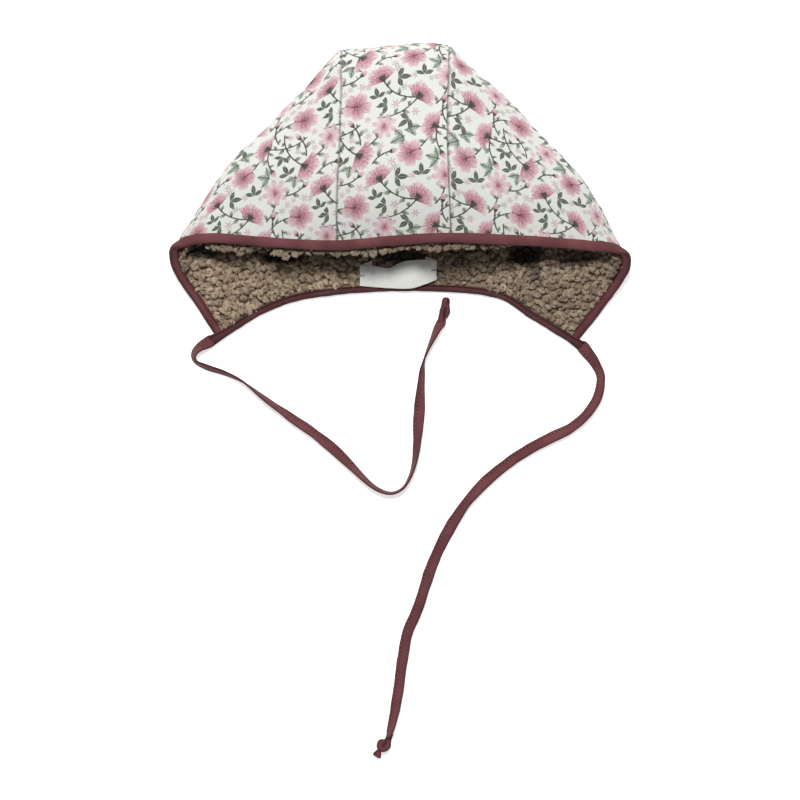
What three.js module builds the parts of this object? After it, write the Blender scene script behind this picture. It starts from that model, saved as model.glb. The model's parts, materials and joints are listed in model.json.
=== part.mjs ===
// A lined baby bonnet that lies on its back: three panels of printed cloth over three panels of curly
// pile, a bound face edge and a bound neck edge whose binding runs on into two knotted ties.
// Millimetres, +Z up. The floor is z = 0, +Y points to the crown and the face opening looks along -Y.
import * as THREE from "three";

// Walls, from the outside in.
const CLOTH = 1.2;
const LAYER_GAP = 0.3;
const PILE = 5.5;
const PILE_AT_EDGE = 2.6;
const PILE_THINS_FROM = 0.86;
const LINING_FROM = CLOTH + LAYER_GAP;

// The centre strip turns over at the crown in a bend of this radius, whose middle is as high.
const CROWN_BEND = 21;
const CORNER_INSET = 0.75;
const SEAM_GAP = 0.6;

// Bias tape round the edges, and the ties that it runs on into.
const TAPE_GAP = 0.8;
const KNOT_GAP = 0.8;
const TAPE_THICK = CLOTH + LAYER_GAP + PILE_AT_EDGE;
const FACE_TAPE_WIDTH = 5.8;
const NECK_TAPE_WIDTH = 4.8;
const TAPE_CHAMFER = 1.1;
const MOST_CHAMFER_SHARE = 1 / 3;
const NECK_TAPE_PAST_CHIN = 5;
const TIE_WIDTH = 7;
const TIE_THICK = 1.4;
const TIE_CLEARANCE = 0.1;

// The woven label, folded and lying on the pile inside the neck edge.
const LABEL = { width: 47.6, height: 16.4, thick: 0.7, x: -1, y: -49.4, turn: 0.06, lift: 0.9, arch: 1.6 };
const LABEL_STEPS_ALONG = 10;
const LABEL_STEPS_ACROSS = 4;

// The crown's line, seen from above: across is -1 at its left seam and 1 at its right one.
const CROWN_LINE = [
  { across: -1, x: -35.3, y: 86.4 },
  { across: -0.5, x: -18.4, y: 88.8 },
  { across: 0, x: -1, y: 90.4 },
  { across: 0.5, x: 15.3, y: 92.2 },
  { across: 1, x: 31, y: 89.8 },
];

// Stations round the opening. x, y, z: where the panels end. crownZ: the layer's height where it leaves
// the crown's bend. swell: how far it stands out where it is fullest. bow: how far its middle lies to the
// right of the straight way. across: where on the crown's line it starts.
// The face edge runs from the left chin corner over the forehead to the right chin corner.
const FACE_EDGE = [
  { at: "chin left", across: -1, x: -109.8, y: -82.6, z: 0, crownZ: 0, swell: 0, bow: 0 },
  { at: "cheek left", across: -1, x: -121.8, y: -64.2, z: 1.2, crownZ: 4, swell: 0.5, bow: 0 },
  { at: "fold low left", across: -1, x: -133, y: -47.6, z: 5, crownZ: 11, swell: 4.5, bow: 0 },
  { at: "fold left", across: -1, x: -137.2, y: -36.8, z: 11.5, crownZ: 20, swell: 5.8, bow: 0 },
  { at: "fold top left", across: -1, x: -134, y: -27.8, z: 19, crownZ: 28, swell: 6.2, bow: 0 },
  { at: "temple left", across: -1, x: -114.5, y: -24.8, z: 26, crownZ: 34, swell: 7, bow: 0 },
  { at: "brow left", across: -1, x: -74.7, y: -28.2, z: 33.5, crownZ: 39, swell: 9.5, bow: 0 },
  { at: "seam left", across: -1, x: -38.1, y: -29.9, z: 38, crownZ: 42, swell: 13, bow: 1.4 },
  { at: "forehead", across: 0, x: -3, y: -27.2, z: 41.5, crownZ: 43, swell: 14, bow: -0.8 },
  { at: "seam right", across: 1, x: 30.8, y: -25.7, z: 43, crownZ: 42, swell: 12.5, bow: -3 },
  { at: "brow right", across: 1, x: 80, y: -27.2, z: 36, crownZ: 39, swell: 9.5, bow: 0 },
  { at: "temple right", across: 1, x: 116, y: -29.4, z: 26, crownZ: 34, swell: 8.5, bow: 0 },
  { at: "fold top right", across: 1, x: 133.6, y: -31.6, z: 18, crownZ: 28, swell: 8.5, bow: 0 },
  { at: "fold right", across: 1, x: 137.2, y: -41.2, z: 11, crownZ: 20, swell: 8.5, bow: 0 },
  { at: "fold low right", across: 1, x: 131.4, y: -52.2, z: 5, crownZ: 11, swell: 5, bow: 0 },
  { at: "cheek right", across: 1, x: 119.8, y: -68.2, z: 1.2, crownZ: 4, swell: 0.5, bow: 0 },
  { at: "chin right", across: 1, x: 106, y: -85.6, z: 0, crownZ: 0, swell: 0, bow: 0 },
];
const SEAM_LEFT = 7;
const SEAM_RIGHT = 9;

// The neck edge runs back along the floor, from the right chin corner to the left one.
const NECK_EDGE = [
  { at: "chin right", across: 1, x: 106, y: -85.6, z: 0, crownZ: 0, swell: 0, bow: 0 },
  { at: "jaw right", across: 1, x: 84.4, y: -72.4, z: 0, crownZ: 0, swell: 0, bow: 0 },
  { at: "neck seam right", across: 1, x: 57, y: -57.6, z: 0, crownZ: 0, swell: 0, bow: 0 },
  { at: "nape", across: 0, x: 0, y: -54.2, z: 0, crownZ: 0, swell: 0, bow: 0 },
  { at: "neck seam left", across: -1, x: -54.5, y: -58.3, z: 0, crownZ: 0, swell: 0, bow: 0 },
  { at: "jaw left", across: -1, x: -85.5, y: -68, z: 0, crownZ: 0, swell: 0, bow: 0 },
  { at: "chin left", across: -1, x: -109.8, y: -82.6, z: 0, crownZ: 0, swell: 0, bow: 0 },
];
const NECK_SEAM_RIGHT = 2;
const NECK_SEAM_LEFT = 4;

// The cloth stands out most past halfway from the crown.
const SWELL_SHIFT = 1.45;

// How finely the cloth is divided: steps from crown to edge, across the strip, and between stations.
const CROWN_TO_EDGE_STEPS = 12;
const CROWN_CROWDING = 1.6;
const ACROSS_STRIP_STEPS = 6;
const STEPS_PER_STATION = 2;

// How far to both sides of a place its direction is taken over, in stations.
const DIRECTION_REACH = 0.05;

// The ties lie on the floor. roll turns the flat tape about its own length, in degrees: 0 lies flat.
const TIE_LEFT_ROUTE = [
  { x: -115.0, y: -89.2, roll: 0 },
  { x: -119.6, y: -92.0, roll: 24 },
  { x: -124.3, y: -94.8, roll: 46 },
  { x: -127.3, y: -98.4, roll: 58 },
  { x: -126.6, y: -103.2, roll: 75 },
  { x: -118.8, y: -107.0, roll: 66 },
  { x: -108.4, y: -110.4, roll: 71 },
  { x: -101.2, y: -113.6, roll: 78 },
  { x: -95.1, y: -117.3, roll: 90 },
  { x: -86.3, y: -124.3, roll: 106 },
  { x: -76.7, y: -131.5, roll: 120 },
  { x: -64.9, y: -139.8, roll: 138 },
  { x: -53.1, y: -148.1, roll: 143 },
  { x: -41.6, y: -157.2, roll: 155 },
  { x: -30.3, y: -168.0, roll: 131 },
  { x: -19.8, y: -178.3, roll: 111 },
  { x: -11.9, y: -183.4, roll: 103 },
  { x: -4.6, y: -184.8, roll: 98 },
  { x: 1.9, y: -181.5, roll: 95 },
  { x: 6.3, y: -174.5, roll: 101 },
  { x: 9.1, y: -165.2, roll: 112 },
  { x: 10.7, y: -152.5, roll: 134 },
  { x: 11.8, y: -136.6, roll: 170 },
  { x: 12.8, y: -121.8, roll: 222 },
  { x: 13.7, y: -109.9, roll: 245 },
  { x: 15.1, y: -101.7, roll: 268 },
  { x: 18.8, y: -92.5, roll: 286 },
  { x: 22.9, y: -83.3, roll: 307 },
  { x: 25.9, y: -78.2, roll: 326 },
  { x: 26.5, y: -76.6, roll: 334 },
];
const TIE_RIGHT_ROUTE = [
  { x: 111.4, y: -91.8, roll: 0 },
  { x: 115.6, y: -97.4, roll: 20 },
  { x: 121.0, y: -104.6, roll: 42 },
  { x: 124.4, y: -113.8, roll: 50 },
  { x: 122.1, y: -126.0, roll: 46 },
  { x: 114.9, y: -136.6, roll: 39 },
  { x: 105.4, y: -144.7, roll: 30 },
  { x: 88.8, y: -152.9, roll: 24 },
  { x: 70.1, y: -163.9, roll: 20 },
  { x: 53.9, y: -176.9, roll: 20 },
  { x: 40.1, y: -192.3, roll: 30 },
  { x: 29.1, y: -209.7, roll: 8 },
  { x: 20.2, y: -228.6, roll: 8 },
  { x: 14.3, y: -245.9, roll: 26 },
  { x: 10.2, y: -258.4, roll: 8 },
  { x: 4.6, y: -271.5, roll: 24 },
  { x: 1.3, y: -289.9, roll: 20 },
  { x: -1.3, y: -309.1, roll: 26 },
  { x: -4.4, y: -325.7, roll: 44 },
  { x: -6.8, y: -334.2, roll: 66 },
  { x: -7.7, y: -335.9, roll: 72 },
];
const TIE_STEPS_PER_POINT = 1;

// Each knot and the bit of tape past it: turned about a line that heads off by so many degrees from +X,
// and flattened on the floor. The left knot's tail is as wide as it, and the right one's is narrow.
const KNOT_SIDES = 10;
const KNOT_FLATNESS = 0.82;
const KNOT_LEFT = {
  heading: 80,
  profile: [
    { along: 0, radius: 1.8 },
    { along: 1.6, radius: 2.9 },
    { along: 4.4, radius: 3.4 },
    { along: 7.2, radius: 3.1 },
    { along: 9.6, radius: 2.6 },
    { along: 11.6, radius: 2.4 },
    { along: 12.4, radius: 1.6 },
  ],
};
const KNOT_RIGHT = {
  heading: -119,
  profile: [
    { along: 0, radius: 1.8 },
    { along: 1.8, radius: 3.0 },
    { along: 4.4, radius: 4.0 },
    { along: 6.8, radius: 3.6 },
    { along: 8.6, radius: 1.8 },
    { along: 10.8, radius: 2.4 },
    { along: 12.6, radius: 2.8 },
  ],
};

const COLOURS = {
  print: 0xe9e6df,
  pile: 0x9b8675,
  tape: 0x6f4040,
  label: 0xe4e3dd,
};

function cloth(colour, roughness = 0.9) {
  return new THREE.MeshStandardMaterial({ color: colour, roughness, metalness: 0 });
}

function mix(a, b, share) {
  return a + (b - a) * share;
}

// A smooth value through the rows of a table, at a whole or fractional row.
function splined(rows, key, place) {
  const last = rows.length - 1;
  const i = Math.min(Math.floor(place), last - 1);
  const f = place - i;
  const here = rows[i][key];
  const next = rows[i + 1][key];
  const before = i > 0 ? rows[i - 1][key] : 2 * here - next;
  const after = i + 2 <= last ? rows[i + 2][key] : 2 * next - here;
  const cubic = 3 * here - before - 3 * next + after;
  const square = 2 * before - 5 * here + 4 * next - after;
  return here + 0.5 * f * (next - before + f * (square + f * cubic));
}

function straight(rows, key, place) {
  const i = Math.min(Math.floor(place), rows.length - 2);
  return mix(rows[i][key], rows[i + 1][key], place - i);
}

function edgePoint(rows, place) {
  return new THREE.Vector3(splined(rows, "x", place), splined(rows, "y", place), splined(rows, "z", place));
}

// The crown's line at a share across the strip. Deeper layers start further in.
function crownPoint(across, depth) {
  const place = ((across + 1) / 2) * (CROWN_LINE.length - 1);
  const x = splined(CROWN_LINE, "x", place) - CORNER_INSET * depth * across;
  return new THREE.Vector2(x, splined(CROWN_LINE, "y", place) - depth);
}

// The edge at a station, with its three directions: along it, outwards in the cloth, and into the hat.
function edgeFrame(rows, place) {
  const low = Math.max(place - DIRECTION_REACH, 0);
  const high = Math.min(place + DIRECTION_REACH, rows.length - 1);
  const point = edgePoint(rows, place);
  const along = edgePoint(rows, high).sub(edgePoint(rows, low)).normalize();
  const crown = crownPoint(straight(rows, "across", place), 0);
  const fromCrown = new THREE.Vector3(point.x - crown.x, point.y - crown.y, 0);
  const inward = new THREE.Vector3().crossVectors(along, fromCrown).normalize();
  const outward = new THREE.Vector3().crossVectors(inward, along);
  return { point, along, inward, outward };
}

// A line of cloth from the crown to one station of the edge.
function meridian(rows, place) {
  const frame = edgeFrame(rows, place);
  return {
    edge: frame.point,
    inward: frame.inward,
    across: straight(rows, "across", place),
    crownZ: splined(rows, "crownZ", place),
    swell: splined(rows, "swell", place),
    bow: splined(rows, "bow", place),
  };
}

// A point of the shell, at a share of the way from the crown to the edge and at a depth inside the outer face.
function shellPoint(line, share, depth) {
  const crown = crownPoint(line.across, depth);
  const edgeX = line.edge.x + depth * line.inward.x;
  const edgeY = line.edge.y + depth * line.inward.y;
  const swell = line.swell * Math.sin(Math.PI * share ** SWELL_SHIFT);
  const bow = line.bow * Math.sin(Math.PI * share);
  const x = mix(crown.x, edgeX, share) - line.inward.x * swell + bow;
  const y = mix(crown.y, edgeY, share) - line.inward.y * swell;
  const level = mix(line.crownZ, line.edge.z, share) + line.inward.z * (depth - swell);
  const bend = CROWN_BEND - depth;
  const run = share * Math.hypot(edgeX - crown.x, edgeY - crown.y);
  const turned = run < bend ? Math.sqrt(1 - (1 - run / bend) ** 2) : 1;
  const z = CROWN_BEND + (level - CROWN_BEND) * turned;
  return new THREE.Vector3(x, y, Math.max(z, depth));
}

function pileDepth(share) {
  const thin = THREE.MathUtils.smoothstep(share, PILE_THINS_FROM, 1);
  return LINING_FROM + mix(PILE, PILE_AT_EDGE, thin);
}

const SHARES = Array.from(
  { length: CROWN_TO_EDGE_STEPS + 1 },
  (_, k) => (k / CROWN_TO_EDGE_STEPS) ** CROWN_CROWDING,
);

function stationRange(from, to) {
  const steps = Math.abs(to - from) * STEPS_PER_STATION;
  return Array.from({ length: steps + 1 }, (_, k) => mix(from, to, k / steps));
}

// The strip's columns of points: from the forehead to the crown, and on underneath to the nape.
function stripColumns(depthAt) {
  const columns = [];
  for (let k = 0; k <= ACROSS_STRIP_STEPS; k += 1) {
    const share = k / ACROSS_STRIP_STEPS;
    const over = meridian(FACE_EDGE, mix(SEAM_LEFT, SEAM_RIGHT, share));
    const under = meridian(NECK_EDGE, mix(NECK_SEAM_LEFT, NECK_SEAM_RIGHT, share));
    const top = [...SHARES].reverse().map((s) => shellPoint(over, s, depthAt(s)));
    const bottom = SHARES.slice(1).map((s) => shellPoint(under, s, depthAt(s)));
    columns.push([...top, ...bottom]);
  }
  return columns;
}

// A side panel's columns, from the top seam round the fold and the chin corner to the neck seam.
function sideColumns(side, depthAt) {
  const left = side < 0;
  const face = stationRange(left ? SEAM_LEFT : SEAM_RIGHT, left ? 0 : FACE_EDGE.length - 1);
  const neck = stationRange(left ? NECK_EDGE.length - 1 : 0, left ? NECK_SEAM_LEFT : NECK_SEAM_RIGHT);
  const lines = [...face.map((p) => meridian(FACE_EDGE, p)), ...neck.slice(1).map((p) => meridian(NECK_EDGE, p))];
  return lines.map((line) =>
    SHARES.map((s) => {
      const point = shellPoint(line, s, depthAt(s));
      point.x += side * SEAM_GAP;
      return point;
    }),
  );
}

// A closed solid between two like grids of points, whose rows may run together at a pole.
function solidBetween(outer, inner, flip) {
  const columns = outer.length;
  const rows = outer[0].length;
  const positions = [];
  function triangle(a, b, c) {
    const tiny = 1e-9;
    if (a.distanceToSquared(b) < tiny || b.distanceToSquared(c) < tiny || c.distanceToSquared(a) < tiny) {
      return;
    }
    const order = flip ? [a, c, b] : [a, b, c];
    order.forEach((p) => positions.push(p.x, p.y, p.z));
  }
  function quad(a, b, c, d) {
    triangle(a, b, c);
    triangle(a, c, d);
  }
  for (let i = 0; i + 1 < columns; i += 1) {
    for (let j = 0; j + 1 < rows; j += 1) {
      quad(outer[i][j], outer[i + 1][j], outer[i + 1][j + 1], outer[i][j + 1]);
      // The inner face has the same diagonal, turned to look the other way.
      triangle(inner[i][j], inner[i + 1][j + 1], inner[i + 1][j]);
      triangle(inner[i][j], inner[i][j + 1], inner[i + 1][j + 1]);
    }
    quad(outer[i][0], inner[i][0], inner[i + 1][0], outer[i + 1][0]);
    quad(outer[i + 1][rows - 1], inner[i + 1][rows - 1], inner[i][rows - 1], outer[i][rows - 1]);
  }
  for (let j = 0; j + 1 < rows; j += 1) {
    quad(outer[0][j + 1], inner[0][j + 1], inner[0][j], outer[0][j]);
    quad(outer[columns - 1][j], inner[columns - 1][j], inner[columns - 1][j + 1], outer[columns - 1][j + 1]);
  }
  const geometry = new THREE.BufferGeometry();
  geometry.setAttribute("position", new THREE.Float32BufferAttribute(positions, 3));
  geometry.computeVertexNormals();
  return geometry;
}

// A rod through a list of rings of points, closed at both ends.
function rodThrough(rings) {
  const positions = [];
  const sides = rings[0].length;
  function triangle(a, b, c) {
    [a, b, c].forEach((p) => positions.push(p.x, p.y, p.z));
  }
  for (let i = 0; i + 1 < rings.length; i += 1) {
    for (let j = 0; j < sides; j += 1) {
      const k = (j + 1) % sides;
      triangle(rings[i][j], rings[i][k], rings[i + 1][k]);
      triangle(rings[i][j], rings[i + 1][k], rings[i + 1][j]);
    }
  }
  const first = rings[0];
  const last = rings[rings.length - 1];
  for (let j = 1; j + 1 < sides; j += 1) {
    triangle(first[0], first[j + 1], first[j]);
    triangle(last[0], last[j], last[j + 1]);
  }
  const geometry = new THREE.BufferGeometry();
  geometry.setAttribute("position", new THREE.Float32BufferAttribute(positions, 3));
  geometry.computeVertexNormals();
  return geometry;
}

// The tape's section: a flat band with cut corners, width by thickness, cut less on a thin one.
function tapeSection(width, thick) {
  const w = width / 2;
  const h = thick / 2;
  const c = Math.min(TAPE_CHAMFER, thick * MOST_CHAMFER_SHARE);
  return [
    [w, h - c],
    [w - c, h],
    [c - w, h],
    [-w, h - c],
    [-w, c - h],
    [c - w, -h],
    [w - c, -h],
    [w, c - h],
  ];
}

// A ring of the tape's section round a point, wide along one direction and thick along another.
function ringAt(centre, wide, deep, section) {
  return section.map(([w, h]) => centre.clone().addScaledVector(wide, w).addScaledVector(deep, h));
}

// The binding along an edge. past carries it straight on beyond both ends.
function binding(rows, width, past) {
  const section = tapeSection(width, TAPE_THICK);
  const frames = stationRange(0, rows.length - 1).map((p) => edgeFrame(rows, p));
  if (past > 0) {
    const first = frames[0];
    const last = frames[frames.length - 1];
    frames.unshift({ ...first, point: first.point.clone().addScaledVector(first.along, -past) });
    frames.push({ ...last, point: last.point.clone().addScaledVector(last.along, past) });
  }
  return rodThrough(
    frames.map(({ point, inward, outward }) => {
      const centre = point
        .clone()
        .addScaledVector(outward, TAPE_GAP + width / 2)
        .addScaledVector(inward, TAPE_THICK / 2);
      return ringAt(centre, outward, inward, section);
    }),
  );
}

// A tie: the tape laid along its route, as high as its roll needs it to be to rest on the floor.
function tie(route) {
  const section = tapeSection(TIE_WIDTH, TIE_THICK);
  const rings = [];
  const last = route.length - 1;
  const up = new THREE.Vector3(0, 0, 1);
  for (let k = 0; k <= last * TIE_STEPS_PER_POINT; k += 1) {
    const place = k / TIE_STEPS_PER_POINT;
    const low = Math.max(place - DIRECTION_REACH, 0);
    const high = Math.min(place + DIRECTION_REACH, last);
    const roll = THREE.MathUtils.degToRad(splined(route, "roll", place));
    const halfHeight =
      (TIE_WIDTH / 2) * Math.abs(Math.sin(roll)) + (TIE_THICK / 2) * Math.abs(Math.cos(roll)) + TIE_CLEARANCE;
    const centre = new THREE.Vector3(splined(route, "x", place), splined(route, "y", place), halfHeight);
    const along = new THREE.Vector3(
      splined(route, "x", high) - splined(route, "x", low),
      splined(route, "y", high) - splined(route, "y", low),
      0,
    ).normalize();
    const flat = new THREE.Vector3().crossVectors(up, along);
    const wide = flat.clone().multiplyScalar(Math.cos(roll)).addScaledVector(up, Math.sin(roll));
    const deep = new THREE.Vector3().crossVectors(along, wide);
    rings.push(ringAt(centre, wide, deep, section));
  }
  return rodThrough(rings);
}

// A knot carried on from the end of a tie.
function knot(route, { heading, profile }) {
  const end = route[route.length - 1];
  const turn = THREE.MathUtils.degToRad(heading);
  const along = new THREE.Vector3(Math.cos(turn), Math.sin(turn), 0);
  const up = new THREE.Vector3(0, 0, 1);
  const flat = new THREE.Vector3().crossVectors(up, along);
  const widest = Math.max(...profile.map((p) => p.radius));
  const rings = profile.map((p) => {
    const centre = new THREE.Vector3(end.x, end.y, widest * KNOT_FLATNESS + TIE_CLEARANCE).addScaledVector(
      along,
      p.along + KNOT_GAP,
    );
    return Array.from({ length: KNOT_SIDES }, (_, j) => {
      const angle = (2 * Math.PI * j) / KNOT_SIDES;
      return centre
        .clone()
        .addScaledVector(flat, p.radius * Math.cos(angle))
        .addScaledVector(up, p.radius * KNOT_FLATNESS * Math.sin(angle));
    });
  });
  return rodThrough(rings);
}

// The label follows the thinning pile down to the neck edge, and arches between its two sewn ends.
function label() {
  const nape = meridian(NECK_EDGE, (NECK_SEAM_LEFT + NECK_SEAM_RIGHT) / 2);
  function grid(lift) {
    return Array.from({ length: LABEL_STEPS_ALONG + 1 }, (_, i) =>
      Array.from({ length: LABEL_STEPS_ACROSS + 1 }, (_, j) => {
        const u = mix(-0.5, 0.5, i / LABEL_STEPS_ALONG);
        const v = mix(-0.5, 0.5, j / LABEL_STEPS_ACROSS);
        const wide = u * LABEL.width;
        const high = v * LABEL.height;
        const x = LABEL.x + wide * Math.cos(LABEL.turn) - high * Math.sin(LABEL.turn);
        const y = LABEL.y + wide * Math.sin(LABEL.turn) + high * Math.cos(LABEL.turn);
        const crown = crownPoint(0, 0);
        const share = THREE.MathUtils.clamp((crown.y - y) / (crown.y - nape.edge.y), 0, 1);
        const arch = LABEL.arch * (1 - 4 * u * u);
        return new THREE.Vector3(x, y, pileDepth(share) + LABEL.lift + arch + lift);
      }),
    );
  }
  return solidBetween(grid(LABEL.thick), grid(0), false);
}

function printedPanel(columnsAt, flip) {
  return solidBetween(
    columnsAt(() => 0),
    columnsAt(() => CLOTH),
    flip,
  );
}

function pilePanel(columnsAt, flip) {
  return solidBetween(
    columnsAt(() => LINING_FROM),
    columnsAt(pileDepth),
    flip,
  );
}

const hat = new THREE.Group();

function add(name, geometry, material) {
  const mesh = new THREE.Mesh(geometry, material);
  mesh.name = name;
  hat.add(mesh);
}

const leftSide = (depthAt) => sideColumns(-1, depthAt);
const rightSide = (depthAt) => sideColumns(1, depthAt);

add("centre_panel", printedPanel(stripColumns, false), cloth(COLOURS.print));
add("side_panel_left", printedPanel(leftSide, false), cloth(COLOURS.print));
add("side_panel_right", printedPanel(rightSide, true), cloth(COLOURS.print));

add("lining_centre", pilePanel(stripColumns, false), cloth(COLOURS.pile, 1));
add("lining_left", pilePanel(leftSide, false), cloth(COLOURS.pile, 1));
add("lining_right", pilePanel(rightSide, true), cloth(COLOURS.pile, 1));

add("face_binding", binding(FACE_EDGE, FACE_TAPE_WIDTH, 0), cloth(COLOURS.tape, 0.7));
add("neck_binding", binding(NECK_EDGE, NECK_TAPE_WIDTH, NECK_TAPE_PAST_CHIN), cloth(COLOURS.tape, 0.7));

add("tie_left", tie(TIE_LEFT_ROUTE), cloth(COLOURS.tape, 0.7));
add("tie_right", tie(TIE_RIGHT_ROUTE), cloth(COLOURS.tape, 0.7));
add("tie_knot_left", knot(TIE_LEFT_ROUTE, KNOT_LEFT), cloth(COLOURS.tape, 0.7));
add("tie_knot_right", knot(TIE_RIGHT_ROUTE, KNOT_RIGHT), cloth(COLOURS.tape, 0.7));

add("label", label(), cloth(COLOURS.label, 0.6));

export default hat;
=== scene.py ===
import json
import math
from collections import defaultdict

import bpy
import numpy as np
from bpy.props import FloatProperty, FloatVectorProperty, IntProperty, PointerProperty
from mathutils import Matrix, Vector

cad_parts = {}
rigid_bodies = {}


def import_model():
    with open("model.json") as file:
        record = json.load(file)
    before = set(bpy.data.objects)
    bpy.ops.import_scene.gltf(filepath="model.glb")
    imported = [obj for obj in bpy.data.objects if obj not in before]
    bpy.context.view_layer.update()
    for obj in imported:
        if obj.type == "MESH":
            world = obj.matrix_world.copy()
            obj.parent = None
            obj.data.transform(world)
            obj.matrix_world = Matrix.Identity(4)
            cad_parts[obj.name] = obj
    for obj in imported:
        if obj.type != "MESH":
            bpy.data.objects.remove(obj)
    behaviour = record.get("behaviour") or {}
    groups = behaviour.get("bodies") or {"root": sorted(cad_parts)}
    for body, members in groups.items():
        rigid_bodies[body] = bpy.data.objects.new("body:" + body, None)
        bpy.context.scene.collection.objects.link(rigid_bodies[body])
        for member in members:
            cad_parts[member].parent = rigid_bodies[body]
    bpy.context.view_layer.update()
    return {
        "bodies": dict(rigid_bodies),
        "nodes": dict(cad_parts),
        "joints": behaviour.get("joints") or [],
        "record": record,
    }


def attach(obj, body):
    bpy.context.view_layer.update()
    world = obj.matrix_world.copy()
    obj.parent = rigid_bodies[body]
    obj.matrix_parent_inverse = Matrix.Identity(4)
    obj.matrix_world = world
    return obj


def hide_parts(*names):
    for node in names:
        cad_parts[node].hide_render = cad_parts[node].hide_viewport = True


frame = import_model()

bl_info = {
    "name": "Baby bonnet",
    "version": (1, 0, 0),
    "blender": (4, 5, 0),
    "location": "View3D > Sidebar > Bonnet",
    "description": "Builds a lined baby bonnet with its ties round the frame's solids",
    "category": "Object",
}

MM = 0.001
ROOT = next(iter(frame["bodies"]))

# The shell from the outside in: the printed cloth's wall, where the lining starts, how deep its pile is,
# also at the edge, and the share of the way to the edge from which it thins. Then the bend at the crown, how
# far the crown's corners draw in with depth, how the swell leans towards the edge, and the gap at the seams.
CLOTH_WALL = 0.96 * MM
LINING_FROM = 1.5 * MM
PILE = 5.5 * MM
PILE_AT_EDGE = 2.6 * MM
PILE_THINS_FROM = 0.86
CROWN_BEND = 21 * MM
CORNER_INSET = 0.75
SWELL_SHIFT = 1.45
SEAM_GAP = 0.15 * MM

UP = np.array([0.0, 0.0, 1.0])
# A point in the head hollow, from which every panel's outer face looks away.
HEAD_MIDDLE = Vector((0, 0.02, 0.025))
# Points nearer than this are one, and cloth higher than OFF_FLOOR doesn't lie on the floor.
MERGED = 1e-6
OFF_FLOOR = 0.5 * MM
# The least height over the floor of the bindings, of the ties and knots, and of the curls.
BINDING_CLEAR = 0.03 * MM
TAPE_CLEAR = 0.05 * MM
CURL_CLEAR = 0.4 * MM

# Columns of the tables below, after x, y and z, where the cloth ends. crown_z: its height where it leaves
# the crown's bend. swell: how far it stands out. bow: how far its middle lies to the right. across: where
# on the crown's line it starts. Millimetres, made metres by in_metres.
CROWN_Z, SWELL, BOW, ACROSS = range(3, 7)


def in_metres(rows):
    table = np.array(rows, dtype=float)
    table[:, :ACROSS] *= MM
    return table


# From the left chin corner over the forehead to the right chin corner.
FACE_EDGE = in_metres([
    (-109.8, -82.6, 0, 0, 0, 0, -1),
    (-121.8, -64.2, 1.2, 4, 0.5, 0, -1),
    (-133, -47.6, 5, 11, 4.5, 0, -1),
    (-137.2, -36.8, 11.5, 20, 5.8, 0, -1),
    (-134, -27.8, 19, 28, 6.2, 0, -1),
    (-114.5, -24.8, 26, 34, 7, 0, -1),
    (-74.7, -28.2, 33.5, 39, 9.5, 0, -1),
    (-38.1, -29.9, 38, 42, 13, 1.4, -1),
    (-3, -27.2, 41.5, 43, 14, -0.8, 0),
    (30.8, -25.7, 43, 42, 12.5, -3, 1),
    (80, -27.2, 36, 39, 9.5, 0, 1),
    (116, -29.4, 26, 34, 8.5, 0, 1),
    (133.6, -31.6, 18, 28, 8.5, 0, 1),
    (137.2, -41.2, 11, 20, 8.5, 0, 1),
    (131.4, -52.2, 5, 11, 5, 0, 1),
    (119.8, -68.2, 1.2, 4, 0.5, 0, 1),
    (106, -85.6, 0, 0, 0, 0, 1),
])
SEAM_LEFT = 7
SEAM_RIGHT = 9

# From the right chin corner along the floor to the left one.
NECK_EDGE = in_metres([
    (106, -85.6, 0, 0, 0, 0, 1),
    (84.4, -72.4, 0, 0, 0, 0, 1),
    (57, -57.6, 0, 0, 0, 0, 1),
    (0, -54.2, 0, 0, 0, 0, 0),
    (-54.5, -58.3, 0, 0, 0, 0, -1),
    (-85.5, -68, 0, 0, 0, 0, -1),
    (-109.8, -82.6, 0, 0, 0, 0, -1),
])
NECK_SEAM_RIGHT = 2
NECK_SEAM_LEFT = 4

# The crown's line, from its left seam to its right one: x, y.
CROWN_LINE = MM * np.array([(-35.3, 86.4), (-18.4, 88.8), (-1, 90.4), (15.3, 92.2), (31, 89.8)])

# The ties' routes on the floor, in metres: x, y, and the tape's roll in degrees.
TIE_WIDTH = 0.0070
TIE_THICK = 0.0014
TIE_STEP = 0.0016
TIE_LEFT_ROUTE = [
    (-0.1150, -0.0892, 0),
    (-0.1196, -0.0920, 24),
    (-0.1243, -0.0948, 46),
    (-0.1273, -0.0984, 58),
    (-0.1266, -0.1032, 75),
    (-0.1188, -0.1070, 66),
    (-0.1084, -0.1104, 71),
    (-0.1012, -0.1136, 78),
    (-0.0951, -0.1173, 90),
    (-0.0863, -0.1243, 106),
    (-0.0767, -0.1315, 120),
    (-0.0649, -0.1398, 138),
    (-0.0531, -0.1481, 143),
    (-0.0416, -0.1572, 155),
    (-0.0303, -0.1680, 131),
    (-0.0198, -0.1783, 111),
    (-0.0119, -0.1834, 103),
    (-0.0046, -0.1848, 98),
    (0.0019, -0.1815, 95),
    (0.0063, -0.1745, 101),
    (0.0091, -0.1652, 112),
    (0.0107, -0.1525, 134),
    (0.0118, -0.1366, 170),
    (0.0128, -0.1218, 222),
    (0.0137, -0.1099, 245),
    (0.0151, -0.1017, 268),
    (0.0188, -0.0925, 286),
    (0.0229, -0.0833, 307),
    (0.0259, -0.0782, 326),
    (0.0265, -0.0766, 334),
]
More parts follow.
